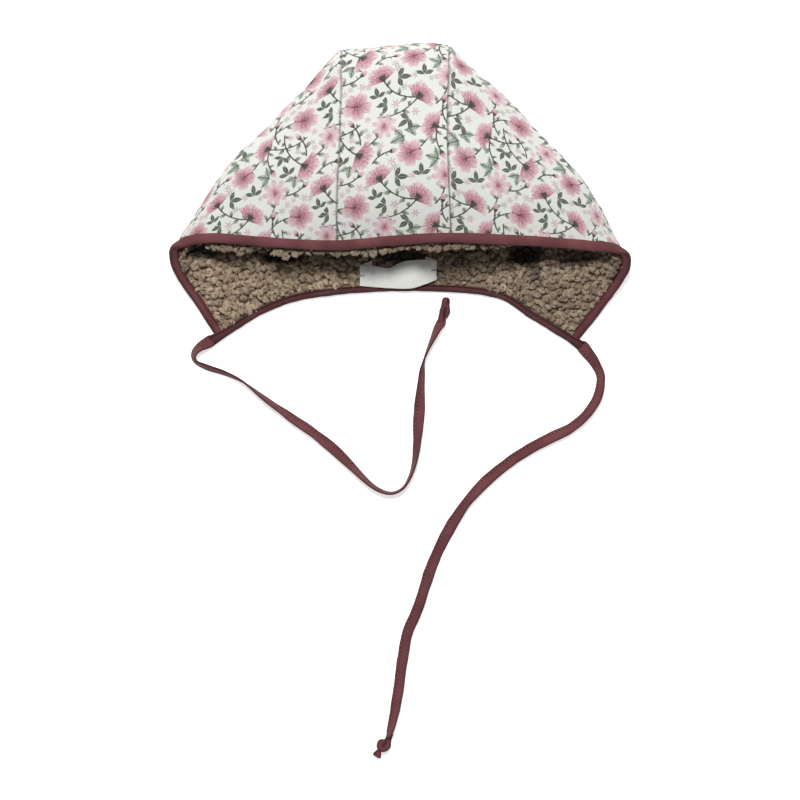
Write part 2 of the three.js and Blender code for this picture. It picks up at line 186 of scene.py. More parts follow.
TIE_RIGHT_ROUTE = [
    (0.1114, -0.0918, 0),
    (0.1156, -0.0974, 20),
    (0.1210, -0.1046, 42),
    (0.1244, -0.1138, 50),
    (0.1221, -0.1260, 46),
    (0.1149, -0.1366, 39),
    (0.1054, -0.1447, 30),
    (0.0888, -0.1529, 24),
    (0.0701, -0.1639, 20),
    (0.0539, -0.1769, 20),
    (0.0401, -0.1923, 30),
    (0.0291, -0.2097, 8),
    (0.0202, -0.2286, 8),
    (0.0143, -0.2459, 26),
    (0.0102, -0.2584, 8),
    (0.0046, -0.2715, 24),
    (0.0013, -0.2899, 20),
    (-0.0013, -0.3091, 26),
    (-0.0044, -0.3257, 44),
    (-0.0068, -0.3342, 66),
    (-0.0077, -0.3359, 72),
]
KNOT_HEADING_LEFT = 80
KNOT_HEADING_RIGHT = -119


# Numbers and noise

def smooth(low, high, value):
    """0 where value is at low and 1 where it is at high, eased. low may be the greater."""
    t = np.clip((value - low) / (high - low), 0, 1)
    return t * t * (3 - 2 * t)


def ripple(points, wave, seed, count=9):
    """A soft, even noise about 0 at points (..., 3), whose waves are about that long."""
    rng = np.random.default_rng(seed)
    total = np.zeros(points.shape[:-1])
    for _ in range(count):
        direction = rng.normal(size=3)
        direction /= np.linalg.norm(direction)
        length = wave * rng.uniform(0.7, 1.5)
        total += np.sin(2 * math.pi * (points @ direction) / length + rng.uniform(0, 2 * math.pi))
    return total / math.sqrt(count)


def splined(rows, place):
    """A smooth value through the rows of a table, at whole or fractional rows."""
    place = np.asarray(place, dtype=float)
    last = len(rows) - 1
    i = np.clip(np.floor(place).astype(int), 0, last - 1)
    f = (place - i)[..., None]
    here = rows[i]
    after = rows[i + 1]
    before = np.where((i > 0)[..., None], rows[np.maximum(i - 1, 0)], 2 * here - after)
    beyond = np.where((i + 2 <= last)[..., None], rows[np.minimum(i + 2, last)], 2 * after - here)
    cubic = 3 * here - before - 3 * after + beyond
    square = 2 * before - 5 * here + 4 * after - beyond
    return here + 0.5 * f * (after - before + f * (square + f * cubic))


def straight(rows, column, place):
    """A column of a table at whole or fractional rows, by straight lines."""
    return np.interp(place, np.arange(len(rows)), rows[:, column])


def run_along(points):
    """How far along a line of points each of them lies."""
    return np.concatenate([[0], np.cumsum(np.linalg.norm(np.diff(points, axis=0), axis=1))])


def unit(vectors):
    return vectors / np.linalg.norm(vectors, axis=-1, keepdims=True)


# The bonnet's shell

def crown_points(across, depth):
    """Places on the crown's line, from -1 at its left end to 1, at depths inside it: x, y."""
    base = splined(CROWN_LINE, (across + 1) / 2 * (len(CROWN_LINE) - 1))
    x = base[..., 0] - CORNER_INSET * depth * across
    return np.stack([x, base[..., 1] - depth], axis=-1)


class Meridians:
    """Lines of cloth from the crown to stations of an edge, with the edge's directions at each."""

    REACH = 0.05

    def __init__(self, rows, places):
        places = np.asarray(places, dtype=float)
        table = splined(rows, places)
        self.edge = table[:, :3]
        self.crown_z = table[:, CROWN_Z]
        self.swell = table[:, SWELL]
        self.bow = table[:, BOW]
        self.across = straight(rows, ACROSS, places)
        high = splined(rows, np.minimum(places + self.REACH, len(rows) - 1))[:, :3]
        low = splined(rows, np.maximum(places - self.REACH, 0))[:, :3]
        self.along = unit(high - low)
        from_crown = np.zeros_like(self.edge)
        from_crown[:, :2] = self.edge[:, :2] - crown_points(self.across, 0)
        self.inward = unit(np.cross(self.along, from_crown))
        self.outward = np.cross(self.inward, self.along)

    def joined(self, other):
        for name in ("edge", "crown_z", "swell", "bow", "across", "along", "inward", "outward"):
            setattr(self, name, np.concatenate([getattr(self, name), getattr(other, name)]))
        return self

    def points(self, share, depth):
        """Points at shares of the way from the crown to the edge and at depths inside the outer face.

        share and depth are arrays that broadcast to (meridians, rows)."""
        across = self.across[:, None]
        crown = crown_points(across + 0 * depth, depth + 0 * across)
        edge = self.edge[:, None, :] + np.asarray(depth)[..., None] * self.inward[:, None, :]
        swell = self.swell[:, None] * np.sin(math.pi * share ** SWELL_SHIFT)
        bow = self.bow[:, None] * np.sin(math.pi * share)
        x = crown[..., 0] + (edge[..., 0] - crown[..., 0]) * share - self.inward[:, None, 0] * swell + bow
        y = crown[..., 1] + (edge[..., 1] - crown[..., 1]) * share - self.inward[:, None, 1] * swell
        level = self.crown_z[:, None] + (self.edge[:, None, 2] - self.crown_z[:, None]) * share
        level = level + self.inward[:, None, 2] * (depth - swell)
        bend = CROWN_BEND - depth
        run = share * np.hypot(edge[..., 0] - crown[..., 0], edge[..., 1] - crown[..., 1])
        turned = np.sqrt(1 - (1 - np.clip(run / bend, 0, 1)) ** 2)
        z = CROWN_BEND + (level - CROWN_BEND) * turned
        return np.stack([x, y, np.maximum(z, np.maximum(depth, 0))], axis=-1)


def pile_depth(share):
    """How deep inside the outer face the pile reaches, at shares of the way to the edge."""
    thin = smooth(PILE_THINS_FROM, 1, share)
    return LINING_FROM + PILE + (PILE_AT_EDGE - PILE) * thin


# Rows crowd towards the crown, and run past the edge, under its tape, to these shares of the way.
ROW_CROWDING = 1.25
CLOTH_END = 1.012
PILE_END = 1.008


def crowded_ends(count):
    """Numbers from 0 to 1, closest together at both ends."""
    return 0.5 - 0.5 * np.cos(math.pi * np.linspace(0, 1, count + 1))


class Strip:
    """The centre panel's grid: columns across it, rows from the forehead over the crown to the nape."""

    def __init__(self, columns, rows, end):
        across = crowded_ends(columns)
        self.over = Meridians(FACE_EDGE, SEAM_LEFT + (SEAM_RIGHT - SEAM_LEFT) * across)
        self.under = Meridians(NECK_EDGE, NECK_SEAM_LEFT + (NECK_SEAM_RIGHT - NECK_SEAM_LEFT) * across)
        shares = end * np.linspace(0, 1, rows + 1) ** ROW_CROWDING
        self.all_shares = np.concatenate([shares[::-1], shares[1:]])[None, :]
        self.top_rows = rows + 1

    def points(self, depth):
        depth = np.broadcast_to(depth, (len(self.over.across), self.all_shares.shape[1]))
        top = self.over.points(self.all_shares[:, :self.top_rows], depth[:, :self.top_rows])
        bottom = self.under.points(self.all_shares[:, self.top_rows:], depth[:, self.top_rows:])
        return np.concatenate([top, bottom], axis=1)

    def flat(self, points):
        """Where each point lies on the flat cloth."""
        middle = len(points) // 2
        steps = np.linalg.norm(np.diff(points, axis=0), axis=-1)
        u = np.concatenate([np.zeros((1, points.shape[1])), np.cumsum(steps, axis=0)])
        u -= u[middle]
        # v is 0 at the crown and grows from the forehead to the nape.
        v = run_along(points[middle])
        v -= v[self.top_rows - 1]
        return np.stack([u, np.broadcast_to(v, u.shape)], axis=-1)

    def from_seams(self, flat):
        return np.minimum(flat[..., 0] - flat[:1, :, 0], flat[-1:, :, 0] - flat[..., 0])


class Side:
    """A side panel's grid: columns round its edge from seam to seam, rows from the crown corner."""

    def __init__(self, side, columns, rows, end):
        face_steps = np.linspace(0, 1, columns + 1) ** 1.8
        neck_steps = 1 - (1 - np.linspace(0, 1, columns // 2 + 1)) ** 1.8
        if side < 0:
            face = SEAM_LEFT * (1 - face_steps)
            neck = len(NECK_EDGE) - 1 + (NECK_SEAM_LEFT - len(NECK_EDGE) + 1) * neck_steps
        else:
            face = SEAM_RIGHT + (len(FACE_EDGE) - 1 - SEAM_RIGHT) * face_steps
            neck = NECK_SEAM_RIGHT * neck_steps
        self.lines = Meridians(FACE_EDGE, face).joined(Meridians(NECK_EDGE, neck[1:]))
        self.side = side
        self.all_shares = end * np.linspace(0, 1, rows + 1)[None, :] ** ROW_CROWDING

    def points(self, depth):
        depth = np.broadcast_to(depth, (len(self.lines.across), self.all_shares.shape[1]))
        points = self.lines.points(self.all_shares, depth)
        points[..., 0] += self.side * SEAM_GAP
        return points

    def polar(self, points):
        """Each point's distance from the crown corner, and its meridian's angle from the top seam."""
        steps = np.linalg.norm(np.diff(points, axis=1), axis=-1)
        reach = np.concatenate([np.zeros((len(points), 1)), np.cumsum(steps, axis=1)], axis=1)
        middle = points.shape[1] * 2 // 3
        gaps = np.linalg.norm(np.diff(points[:, middle], axis=0), axis=-1)
        radius = 0.5 * (reach[1:, middle] + reach[:-1, middle])
        angle = np.concatenate([[0], np.cumsum(gaps / radius)])
        return reach, np.broadcast_to(angle[:, None], reach.shape)

    def flat(self, points):
        reach, angle = self.polar(points)
        return np.stack([self.side * reach * np.sin(angle), reach * -np.cos(angle)], axis=-1)

    def from_seams(self, flat):
        reach = np.hypot(flat[..., 0], flat[..., 1])
        angle = np.arctan2(self.side * flat[..., 0], -flat[..., 1])
        angle = np.where(angle < -0.01, angle + 2 * math.pi, angle)
        rest = angle[-1:, -1:] - angle
        near_top = np.where(angle < math.pi / 2, reach * np.sin(angle), reach)
        near_neck = np.where(rest < math.pi / 2, reach * np.sin(np.maximum(rest, 0)), reach)
        return np.minimum(near_top, near_neck)


# Bias tape folded round the edges: where it starts past each edge and where its fold is, how far it
# stands off the panels, and its wall.
FACE_TAPE = (0.5 * MM, 6.5 * MM)
NECK_TAPE = (1.3 * MM, 5.6 * MM)
TAPE_PROUD = 0.4 * MM
TAPE_WALL = 0.75 * MM


# Making meshes

def deselect():
    """Lets go of everything, before a primitive is added."""
    for thing in bpy.context.selected_objects:
        thing.select_set(False)
    bpy.context.view_layer.objects.active = None


def only(thing):
    """Selects a thing and makes it the active one."""
    deselect()
    thing.select_set(True)
    bpy.context.view_layer.objects.active = thing


def finish_mesh(piece, smooth_angle=60):
    """Moves a piece's place into its mesh and smooths its shading."""
    only(piece)
    bpy.ops.object.transform_apply(location=True, rotation=True, scale=True)
    bpy.ops.object.shade_smooth_by_angle(angle=math.radians(smooth_angle))


def grid_piece(name, points, flat, seams=None):
    """A grid primitive laid on points (columns, rows, 3), with its flat cloth as UVs in mm.

    seams gives each vertex the attribute of that name."""
    columns = points.shape[0] - 1
    rows = points.shape[1] - 1
    deselect()
    bpy.ops.mesh.primitive_grid_add(x_subdivisions=columns, y_subdivisions=rows, size=1)
    piece = bpy.context.active_object
    piece.name = name
    piece.data.name = name
    mesh = piece.data
    start = np.empty(len(mesh.vertices) * 3)
    mesh.vertices.foreach_get("co", start)
    start = start.reshape(-1, 3)
    column = np.rint((start[:, 0] + 0.5) * columns).astype(int)
    row = np.rint((start[:, 1] + 0.5) * rows).astype(int)
    mesh.vertices.foreach_set("co", points[column, row].ravel())
    corner = np.empty(len(mesh.loops), dtype=int)
    mesh.loops.foreach_get("vertex_index", corner)
    uv = flat[column, row][corner] / MM
    mesh.uv_layers[0].name = "Cloth"
    mesh.uv_layers[0].data.foreach_set("uv", uv.ravel())
    if seams is not None:
        layer = mesh.color_attributes.new("seam", "FLOAT_COLOR", "POINT")
        value = seams[column, row]
        colours = np.stack([value, value, value, np.ones_like(value)], axis=-1)
        layer.data.foreach_set("color", colours.ravel())
    mesh.update()
    return piece


def edit_all(piece, operator, **settings):
    """Runs an edit mode operator on the whole of a piece."""
    only(piece)
    bpy.ops.object.mode_set(mode="EDIT")
    bpy.ops.mesh.select_all(action="SELECT")
    operator(**settings)
    bpy.ops.object.mode_set(mode="OBJECT")


def turn_outward(piece, inside):
    """Flips an open sheet whose faces look towards the inside."""
    facing = 0.0
    for face in piece.data.polygons:
        facing += face.area * face.normal.dot(face.center - inside)
    if facing < 0:
        edit_all(piece, bpy.ops.mesh.flip_normals)


def modify(piece, kind, **settings):
    """Gives a piece a modifier with those settings and applies it."""
    only(piece)
    modifier = piece.modifiers.new(kind.title(), kind)
    for key, value in settings.items():
        setattr(modifier, key, value)
    bpy.ops.object.modifier_apply(modifier=modifier.name)


def raw_mesh(name, vertices, faces, uvs=None):
    """A piece from arrays: vertices (n, 3), faces (m, k) and, if given, uvs (m, k, 2) in mm."""
    mesh = bpy.data.meshes.new(name)
    mesh.vertices.add(len(vertices))
    mesh.vertices.foreach_set("co", np.ascontiguousarray(vertices, dtype=np.float32).ravel())
    sides = faces.shape[1]
    mesh.loops.add(faces.size)
    mesh.loops.foreach_set("vertex_index", np.ascontiguousarray(faces, dtype=np.int32).ravel())
    mesh.polygons.add(len(faces))
    mesh.polygons.foreach_set("loop_start", np.arange(0, faces.size, sides, dtype=np.int32))
    if uvs is not None:
        layer = mesh.uv_layers.new(name="Cloth")
        layer.data.foreach_set("uv", np.ascontiguousarray(uvs / MM, dtype=np.float32).ravel())
    mesh.update(calc_edges=True)
    mesh.validate()
    piece = bpy.data.objects.new(name, mesh)
    bpy.context.collection.objects.link(piece)
    return piece


def rod(name, rings):
    """A closed rod through rings (n, sides, 3). Its UVs run along it and round it, in mm."""
    count, sides = rings.shape[:2]
    i, j = np.meshgrid(np.arange(count - 1), np.arange(sides), indexing="ij")
    k = (j + 1) % sides
    quads = np.stack([i * sides + j, i * sides + k, (i + 1) * sides + k, (i + 1) * sides + j], axis=-1)
    along = run_along(rings.mean(axis=1))
    around = run_along(np.concatenate([rings[count // 2], rings[count // 2, :1]]))
    u = np.stack([along[i], along[i], along[i + 1], along[i + 1]], axis=-1)
    v = np.stack([around[j], around[j + 1], around[j + 1], around[j]], axis=-1)
    uvs = np.stack([u, v], axis=-1)
    piece = raw_mesh(name, rings.reshape(-1, 3), quads.reshape(-1, 4), uvs.reshape(-1, 4, 2))
    only(piece)
    bpy.ops.object.mode_set(mode="EDIT")
    bpy.ops.mesh.select_all(action="DESELECT")
    bpy.ops.mesh.select_mode(type="EDGE")
    bpy.ops.mesh.select_non_manifold()
    bpy.ops.mesh.edge_face_add()
    bpy.ops.mesh.select_all(action="SELECT")
    bpy.ops.mesh.normals_make_consistent(inside=False)
    bpy.ops.object.mode_set(mode="OBJECT")
    return piece


def flat_size(flat):
    """The width, length and area of a grid's flat cloth."""
    size = flat.reshape(-1, 2).max(axis=0) - flat.reshape(-1, 2).min(axis=0)
    a = flat[1:, 1:] - flat[:-1, :-1]
    b = flat[1:, :-1] - flat[:-1, 1:]
    area = 0.5 * np.abs(a[..., 0] * b[..., 1] - a[..., 1] * b[..., 0]).sum()
    return (float(size[0]), float(size[1])), float(area)


# Node helpers

class Graph:
    """Adds nodes to a tree one after another, with numbers or sockets as their inputs."""

    def __init__(self, tree):
        self.tree = tree

    def node(self, kind, **settings):
        made = self.tree.nodes.new(kind)
        for key, value in settings.items():
            setattr(made, key, value)
        return made

    def put(self, socket, value):
        if isinstance(value, bpy.types.NodeSocket):
            self.tree.links.new(value, socket)
        elif value is not None:
            socket.default_value = value

    def fill(self, node, **values):
        """Fills a node's inputs by their names, with _ for each space."""
        for label, value in values.items():
            self.put(node.inputs[label.replace("_", " ")], value)
        return node

    def math(self, operation, a, b=None, c=None, clamp=False):
        made = self.node("ShaderNodeMath", operation=operation, use_clamp=clamp)
        for socket, value in zip(made.inputs, (a, b, c)):
            self.put(socket, value)
        return made.outputs[0]

    def times(self, a, b):
        return self.math("MULTIPLY", a, b)

    def plus(self, a, b):
        return self.math("ADD", a, b)

    def minus(self, a, b):
        return self.math("SUBTRACT", a, b)

    def times_plus(self, a, b, c):
        return self.math("MULTIPLY_ADD", a, b, c)

    def abs(self, a):
        return self.math("ABSOLUTE", a)

    def tinted(self, colour, shade):
        """The colour times a shade from 0 to 1."""
        made = self.node("ShaderNodeMix", data_type="RGBA", blend_type="MULTIPLY")
        made.inputs["Factor"].default_value = 1.0
        self.put(made.inputs[6], colour)
        self.put(made.inputs[7], self.combine(shade, shade, shade))
        return made.outputs[2]

    def vector(self, operation, a, b=None, c=None):
        made = self.node("ShaderNodeVectorMath", operation=operation)
        for socket, value in zip(made.inputs, (a, b, c)):
            self.put(socket, value)
        out = "Value" if operation in {"LENGTH", "DISTANCE", "DOT_PRODUCT"} else "Vector"
        return made.outputs[out]

    def mapping(self, vector, turn=0.0, scale=1.0):
        made = self.node("ShaderNodeMapping", vector_type="POINT")
        return self.fill(made, Vector=vector, Rotation=(0, 0, turn), Scale=(scale, scale, 1)).outputs[0]

    def parts(self, vector):
        made = self.node("ShaderNodeSeparateXYZ")
        self.put(made.inputs[0], vector)
        return made.outputs[0], made.outputs[1], made.outputs[2]

    def combine(self, x, y, z=0.0):
        made = self.node("ShaderNodeCombineXYZ")
        for socket, value in zip(made.inputs, (x, y, z)):
            self.put(socket, value)
        return made.outputs[0]

    def mix(self, factor, a, b, kind="RGBA"):
        made = self.node("ShaderNodeMix", data_type=kind)
        index = {"FLOAT": 0, "VECTOR": 1, "RGBA": 2}[kind]
        self.put(made.inputs["Factor" if kind != "VECTOR" else 0], factor)
        first = {"FLOAT": 2, "VECTOR": 4, "RGBA": 6}[kind]
        self.put(made.inputs[first], a)
        self.put(made.inputs[first + 1], b)
        return made.outputs[index]

    def step(self, value, low, high):
        """0 where value is at low and 1 where it is at high. low may be the greater."""
        made = self.node("ShaderNodeMapRange", interpolation_type="SMOOTHSTEP")
        return self.fill(made, Value=value, From_Min=low, From_Max=high).outputs[0]

    def noise(self, vector, scale, detail=2.0, rough=0.5, distortion=0.0):
        made = self.node("ShaderNodeTexNoise")
        self.fill(made, Vector=vector, Scale=scale, Detail=detail, Roughness=rough, Distortion=distortion)
        return made.outputs["Fac"]

    def ramp(self, factor, stops):
        made = self.node("ShaderNodeValToRGB")
        self.put(made.inputs[0], factor)
        points = made.color_ramp.elements
        while len(points) < len(stops):
            points.new(0.5)
        for point, (place, colour) in zip(points, stops):
            point.position = place
            point.color = colour
        return made.outputs[0]


def srgb(red, green, blue):
    """A colour as the eye names it, 0 to 255, in Blender's own linear numbers."""
    def linear(value):
        share = value / 255
        return share / 12.92 if share <= 0.04045 else ((share + 0.055) / 1.055) ** 2.4
    return (linear(red), linear(green), linear(blue), 1.0)


def new_group(name, inputs, outputs):
    """A shader node group. inputs are (name, kind, default), outputs (name, kind)."""
    group = bpy.data.node_groups.new(name, "ShaderNodeTree")
    kinds = {"float": "NodeSocketFloat", "vector": "NodeSocketVector", "colour": "NodeSocketColor"}
    for label, kind, default in inputs:
        socket = group.interface.new_socket(name=label, in_out="INPUT", socket_type=kinds[kind])
        if default is not None:
            socket.default_value = default
    for label, kind in outputs:
        group.interface.new_socket(name=label, in_out="OUTPUT", socket_type=kinds[kind])
    graph = Graph(group)
    entry = graph.node("NodeGroupInput")
    leave = graph.node("NodeGroupOutput")
    return group, graph, entry, leave


def placed(graph, group, **values):
    """A group placed in a graph, with its inputs by name."""
    return graph.fill(graph.node("ShaderNodeGroup", node_tree=group), **values)


def new_material(name):
    """A new material, its graph and its Principled shader."""
    material = bpy.data.materials.new(name)
    material.use_nodes = True
    graph = Graph(material.node_tree)
    shader = material.node_tree.nodes["Principled BSDF"]
    return material, graph, shader


def cloth_uv(graph):
    """Where a point lies on the flat cloth, in mm."""
    return graph.node("ShaderNodeUVMap", uv_map="Cloth").outputs[0]


def object_place(graph):
    """Where a point lies, in metres."""
    return graph.node("ShaderNodeTexCoord").outputs["Object"]


def bump(graph, height, distance, strength):
    """A normal turned by a height that is measured in distances, in metres."""
    made = graph.node("ShaderNodeBump")
    return graph.fill(made, Strength=strength, Distance=distance, Height=height).outputs[0]


# The print: a trailing repeat, charted in mm on the flat cloth

CELL = np.array([70.0, 62.0])

# Each spray: its flower's place, its stem's heading there in degrees, the radius of its stem's bend
# (+ to the left), the stem's length, the flower, and the flower's size.
SPRAYS = [
    (13, 9, 50, 26, 26, "bell", 11.6),
    (47, 8, -10, -22, 22, "rosette", 9.2),
    (31, 25, 100, 20, 20, "daisy", 8.8),
    (63, 22, 120, -24, 24, "bell", 11.2),
    (10, 38, 200, -20, 22, "rosette", 8.6),
    (47, 41, -30, 24, 26, "bell", 11.6),
    (27, 54, 160, -22, 24, "bell", 11.0),
    (64, 56, 70, 20, 18, "daisy", 8.2),
    (29, 7, 80, -16, 13, "bud", 6.8),
    (48, 26, 40, 16, 12, "bud", 6.2),
    (28, 40, -60, 18, 13, "bud", 6.8),
    (67, 40, 10, -15, 12, "bud", 6.2),
    (46, 57, 130, 16, 12, "bud", 6.4),
]
TRIO_SIZES = [8.4, 8.0, 8.2, 7.4, 7.6, 7.0, 6.8]
FERN_SIZES = [8.8, 8.4, 8.0, 7.4]
STAR_SIZES = [3.2, 3.0, 3.1, 2.8, 2.9, 2.6, 2.8, 2.5, 2.6, 2.4, 2.5, 2.3, 2.4, 2.2, 2.3, 2.1, 2.2, 2.0]

INK = {
    "ground": srgb(230, 232, 225),
    "vine": srgb(70, 70, 60),
    "dark leaf": srgb(62, 68, 56),
    "leaf vein": srgb(112, 118, 98),
    "pale leaf": srgb(158, 166, 146),
    "fern": srgb(62, 90, 60),
    "pale fern": srgb(112, 138, 104),
    "star": srgb(200, 152, 166),
    "grey star": srgb(160, 160, 152),
    "heart": srgb(166, 82, 102),
    "rose": srgb(192, 128, 140),
    "pink": srgb(208, 162, 170),
    "pale pink": srgb(226, 196, 202),
    "maroon": srgb(88, 42, 52),
}


def stem_arc(spray):
    """The centre of a stem's arc, and the heading at its start and at its flower, in radians."""
    x, y, heading, radius, length = spray[:5]
    end = math.radians(heading)
    centre = (x - radius * math.sin(end), y + radius * math.cos(end))
    return centre, end - length / radius, end


def taken_room():
    """What the sprays cover of the repeat, as discs: x, y, radius."""
    discs = []
    for spray in SPRAYS:
        x, y, _, radius, _, flower, size = spray
        centre, start, end = stem_arc(spray)
        forward = 0.5 * size if flower in ("bell", "bud") else 0.0
        reach = {"bell": 0.75, "bud": 0.45, "daisy": 1.0, "rosette": 1.0}[flower] * size
        discs.append((x + forward * math.cos(end), y + forward * math.sin(end), reach))
        for turn in np.linspace(start, end, 7):
            discs.append((centre[0] + radius * math.sin(turn), centre[1] - radius * math.cos(turn), 2.6))
    return np.array(discs)


def filled_gaps(rng, sizes, taken, share):
    """Places, headings and sizes for more motifs, each in the widest gap left, and what is taken then."""
    placed_here = []
    for size in sizes:
        tries = rng.random((400, 2)) * CELL
        away = np.abs(tries[:, None] - taken[None, :, :2] % CELL)
        away = np.minimum(away, CELL - away)
        room = (np.linalg.norm(away, axis=-1) - taken[:, 2]).min(axis=1)
        x, y = tries[np.argmax(room)]
        turn = rng.uniform(0, 2 * math.pi)
        placed_here.append((x - share * size * math.cos(turn), y - share * size * math.sin(turn), turn, size))
        taken = np.vstack([taken, (x, y, 0.55 * size)])
    return placed_here, taken


def print_group():
    """Node group: flat cloth in mm to the print's colour."""
    group, g, entry, leave = new_group("Trailing print", [("Cloth", "vector", None)], [("Color", "colour")])
    wobble = g.fill(g.node("ShaderNodeTexNoise"), Vector=entry.outputs[0], Scale=0.9, Detail=1.0)
    wobble = g.vector("SUBTRACT", wobble.outputs["Color"], (0.5, 0.5, 0.5))
    cloth = g.vector("ADD", entry.outputs[0], g.vector("MULTIPLY", wobble, (0.6, 0.6, 0)))
    stipple = g.noise(entry.outputs[0], 1.25, detail=2.0, rough=0.7)
    half = CELL / 2
    rng = np.random.default_rng(7)
    trios, taken = filled_gaps(rng, TRIO_SIZES, taken_room(), 0.35)
    ferns, taken = filled_gaps(rng, FERN_SIZES, taken, 0.5)
    stars, taken = filled_gaps(rng, STAR_SIZES, taken, 0.0)

    def local(x, y, turn, size, tone=0.0):
        """The cloth as seen from one motif: its own place at 0, its heading along +X and its size as 1.

        tone rides along as the third number."""
        away = g.vector("SUBTRACT", cloth, (x, y, 0))
        near = g.vector("WRAP", away, (half[0], half[1], tone), (-half[0], -half[1], tone))
        return g.mapping(near, turn=-turn, scale=1 / size)

    def closest(seen):
        """What is seen of the nearest thing. seen holds (what is seen, how far off) for each."""
        best, least = seen[0]
        for here, far in seen[1:]:
            best = g.mix(g.math("LESS_THAN", far, least), best, here, kind="VECTOR")
            least = g.math("MINIMUM", far, least)
        return best

    def nearest(motifs):
        """The cloth as seen from the nearest of the motifs."""
        seen = []
        for k, (x, y, turn, size) in enumerate(motifs):
            here = local(x, y, turn, size, tone=0.5 * (k % 3))
            seen.append((here, g.vector("LENGTH", g.vector("MULTIPLY", here, (1, 1, 0)))))
        return closest(seen)

    def spot(colour, mask, ink, grain=0.42):
        """Prints ink where the mask is 1, let down with fine grains of the ground."""
        through = g.times_plus(g.step(stipple, 0.48, 0.6), -grain, 1.0)
        return g.mix(g.times(mask, through), colour, ink)

    def polar(vector):
        """A place with its distance from the middle and its angle, and its tone."""
        x, y, tone = g.parts(vector)
        radius = g.math("SQRT", g.plus(g.times(x, x), g.times(y, y)))
        return x, y, radius, g.math("ARCTAN2", y, x), tone

    def streaked(vector, radius, rays, rings):
        """A noise whose grains run out from the middle, about 0."""
        out = g.vector("SCALE", g.vector("NORMALIZE", g.vector("MULTIPLY", vector, (1, 1, 0))), None)
        out.node.inputs["Scale"].default_value = rays
        seed = g.combine(0.0, 0.0, g.times(radius, rings))
        return g.minus(g.noise(g.vector("ADD", out, seed), 1.0, detail=2.0, rough=0.6), 0.5)

    def almond(x, y, length, width):
        """A mask for a pointed leaf from 0 to length along x."""
        along = g.times(x, math.pi / length)
        along = g.math("MAXIMUM", g.math("MINIMUM", along, math.pi), 0.0)
        inside = g.times(g.math("SINE", along), width)
        return g.step(g.minus(g.abs(y), inside), 0.02, -0.03)

    def cup(x, y, slope, reach):
        """A mask for the cup that a flower or a bud grows out of."""
        inside = g.step(g.minus(g.abs(y), g.times_plus(x, slope, 0.06)), 0.02, -0.03)
        inside = g.times(inside, g.step(x, reach, reach - 0.1))
        return g.times(inside, g.step(x, -0.12, -0.05))

    def inks(level, *stops):
        """A flower's inks from its heart outwards, as (place, ink)."""
        return g.ramp(level, [(place, INK[ink]) for place, ink in stops])

    colour = INK["ground"]

    # Small blossoms of six thin rays, rose and grey.
    _, _, r, a, tone = polar(nearest(stars))
    rays = g.math("POWER", g.abs(g.math("COSINE", g.times(a, 3.0))), 2.2)
    mask = g.step(g.minus(r, g.times_plus(rays, 0.8, 0.15)), 0.08, -0.12)
    mask = g.times(mask, g.step(r, 0.06, 0.16))
    shade = g.mix(g.step(tone, 0.7, 0.9), INK["star"], INK["grey star"])
    colour = spot(colour, g.times(mask, 0.92), shade)

    # Fern sprigs: leaflets that slant forwards off a short stalk, paler to their tips.
    def sprig(x, y, length):
        """A mask for a sprig of that length along x."""
        side = g.abs(y)
        slant = g.math("FRACT", g.minus(g.times(x, 7.0), g.times(side, 5.0)))
        leaflet = g.times(g.step(slant, 0.0, 0.2), g.step(slant, 0.85, 0.6))
        leaflet = g.times(leaflet, almond(x, side, length, 0.25))
        reach = g.step(g.abs(g.minus(x, 0.4)), 0.56, 0.5)
        return g.math("MAXIMUM", leaflet, g.times(g.step(side, 0.06, 0.02), reach))

    x, y, _ = g.parts(nearest(ferns))
    sx, sy, _ = g.parts(g.mapping(g.combine(x, g.abs(y)), turn=math.radians(-62)))
    mask = g.math("MAXIMUM", sprig(x, y, 1.0), sprig(sx, sy, 0.86))
    apart = g.math("MINIMUM", g.abs(y), g.abs(sy))
    shade = g.mix(g.step(apart, 0.04, 0.2), INK["fern"], INK["pale fern"])
    colour = spot(colour, mask, shade, grain=0.2)

    # Stems: the cloth seen along the nearest stem, as (along, aside).
    seen = []
    for spray in SPRAYS:
        radius, length = spray[3:5]
        centre, start, _ = stem_arc(spray)
        middle = start + 0.5 * length / radius - math.copysign(math.pi / 2, radius)
        here = local(centre[0], centre[1], middle, 1.0)
        hx, hy, _ = g.parts(here)
        aside = g.minus(g.vector("LENGTH", here), abs(radius))
        along = g.times(g.math("ARCTAN2", hy, hx), radius)
        past = g.minus(g.abs(along), length / 2)
        here = g.combine(g.plus(along, length / 2), aside, past)
        seen.append((here, g.math("MAXIMUM", g.abs(aside), past)))
    along, aside, past = g.parts(closest(seen))
    stem = g.times(g.step(g.abs(aside), 0.56, 0.3), g.step(past, 0.3, -0.1))

    # Leaves along the stems, by turns on one side and on the other.
    pitch = 4.9
    run = g.math("DIVIDE", along, pitch)
    facing = g.times_plus(g.math("MODULO", g.math("FLOOR", run), 2.0), 2.0, -1.0)
    lx = g.minus(g.times(g.math("FRACT", run), pitch), 0.5)
    ly = g.times(aside, facing)
    lx, ly, _ = g.parts(g.mapping(g.combine(lx, ly), turn=math.radians(-50)))
    mask = g.times(almond(lx, ly, 5.0, 1.2), g.step(past, -0.5, -1.5))
    shade = g.mix(g.step(lx, 0.8, 4.2), INK["dark leaf"], INK["pale leaf"])
    colour = spot(colour, mask, shade)
    colour = spot(colour, stem, INK["vine"], grain=0.1)

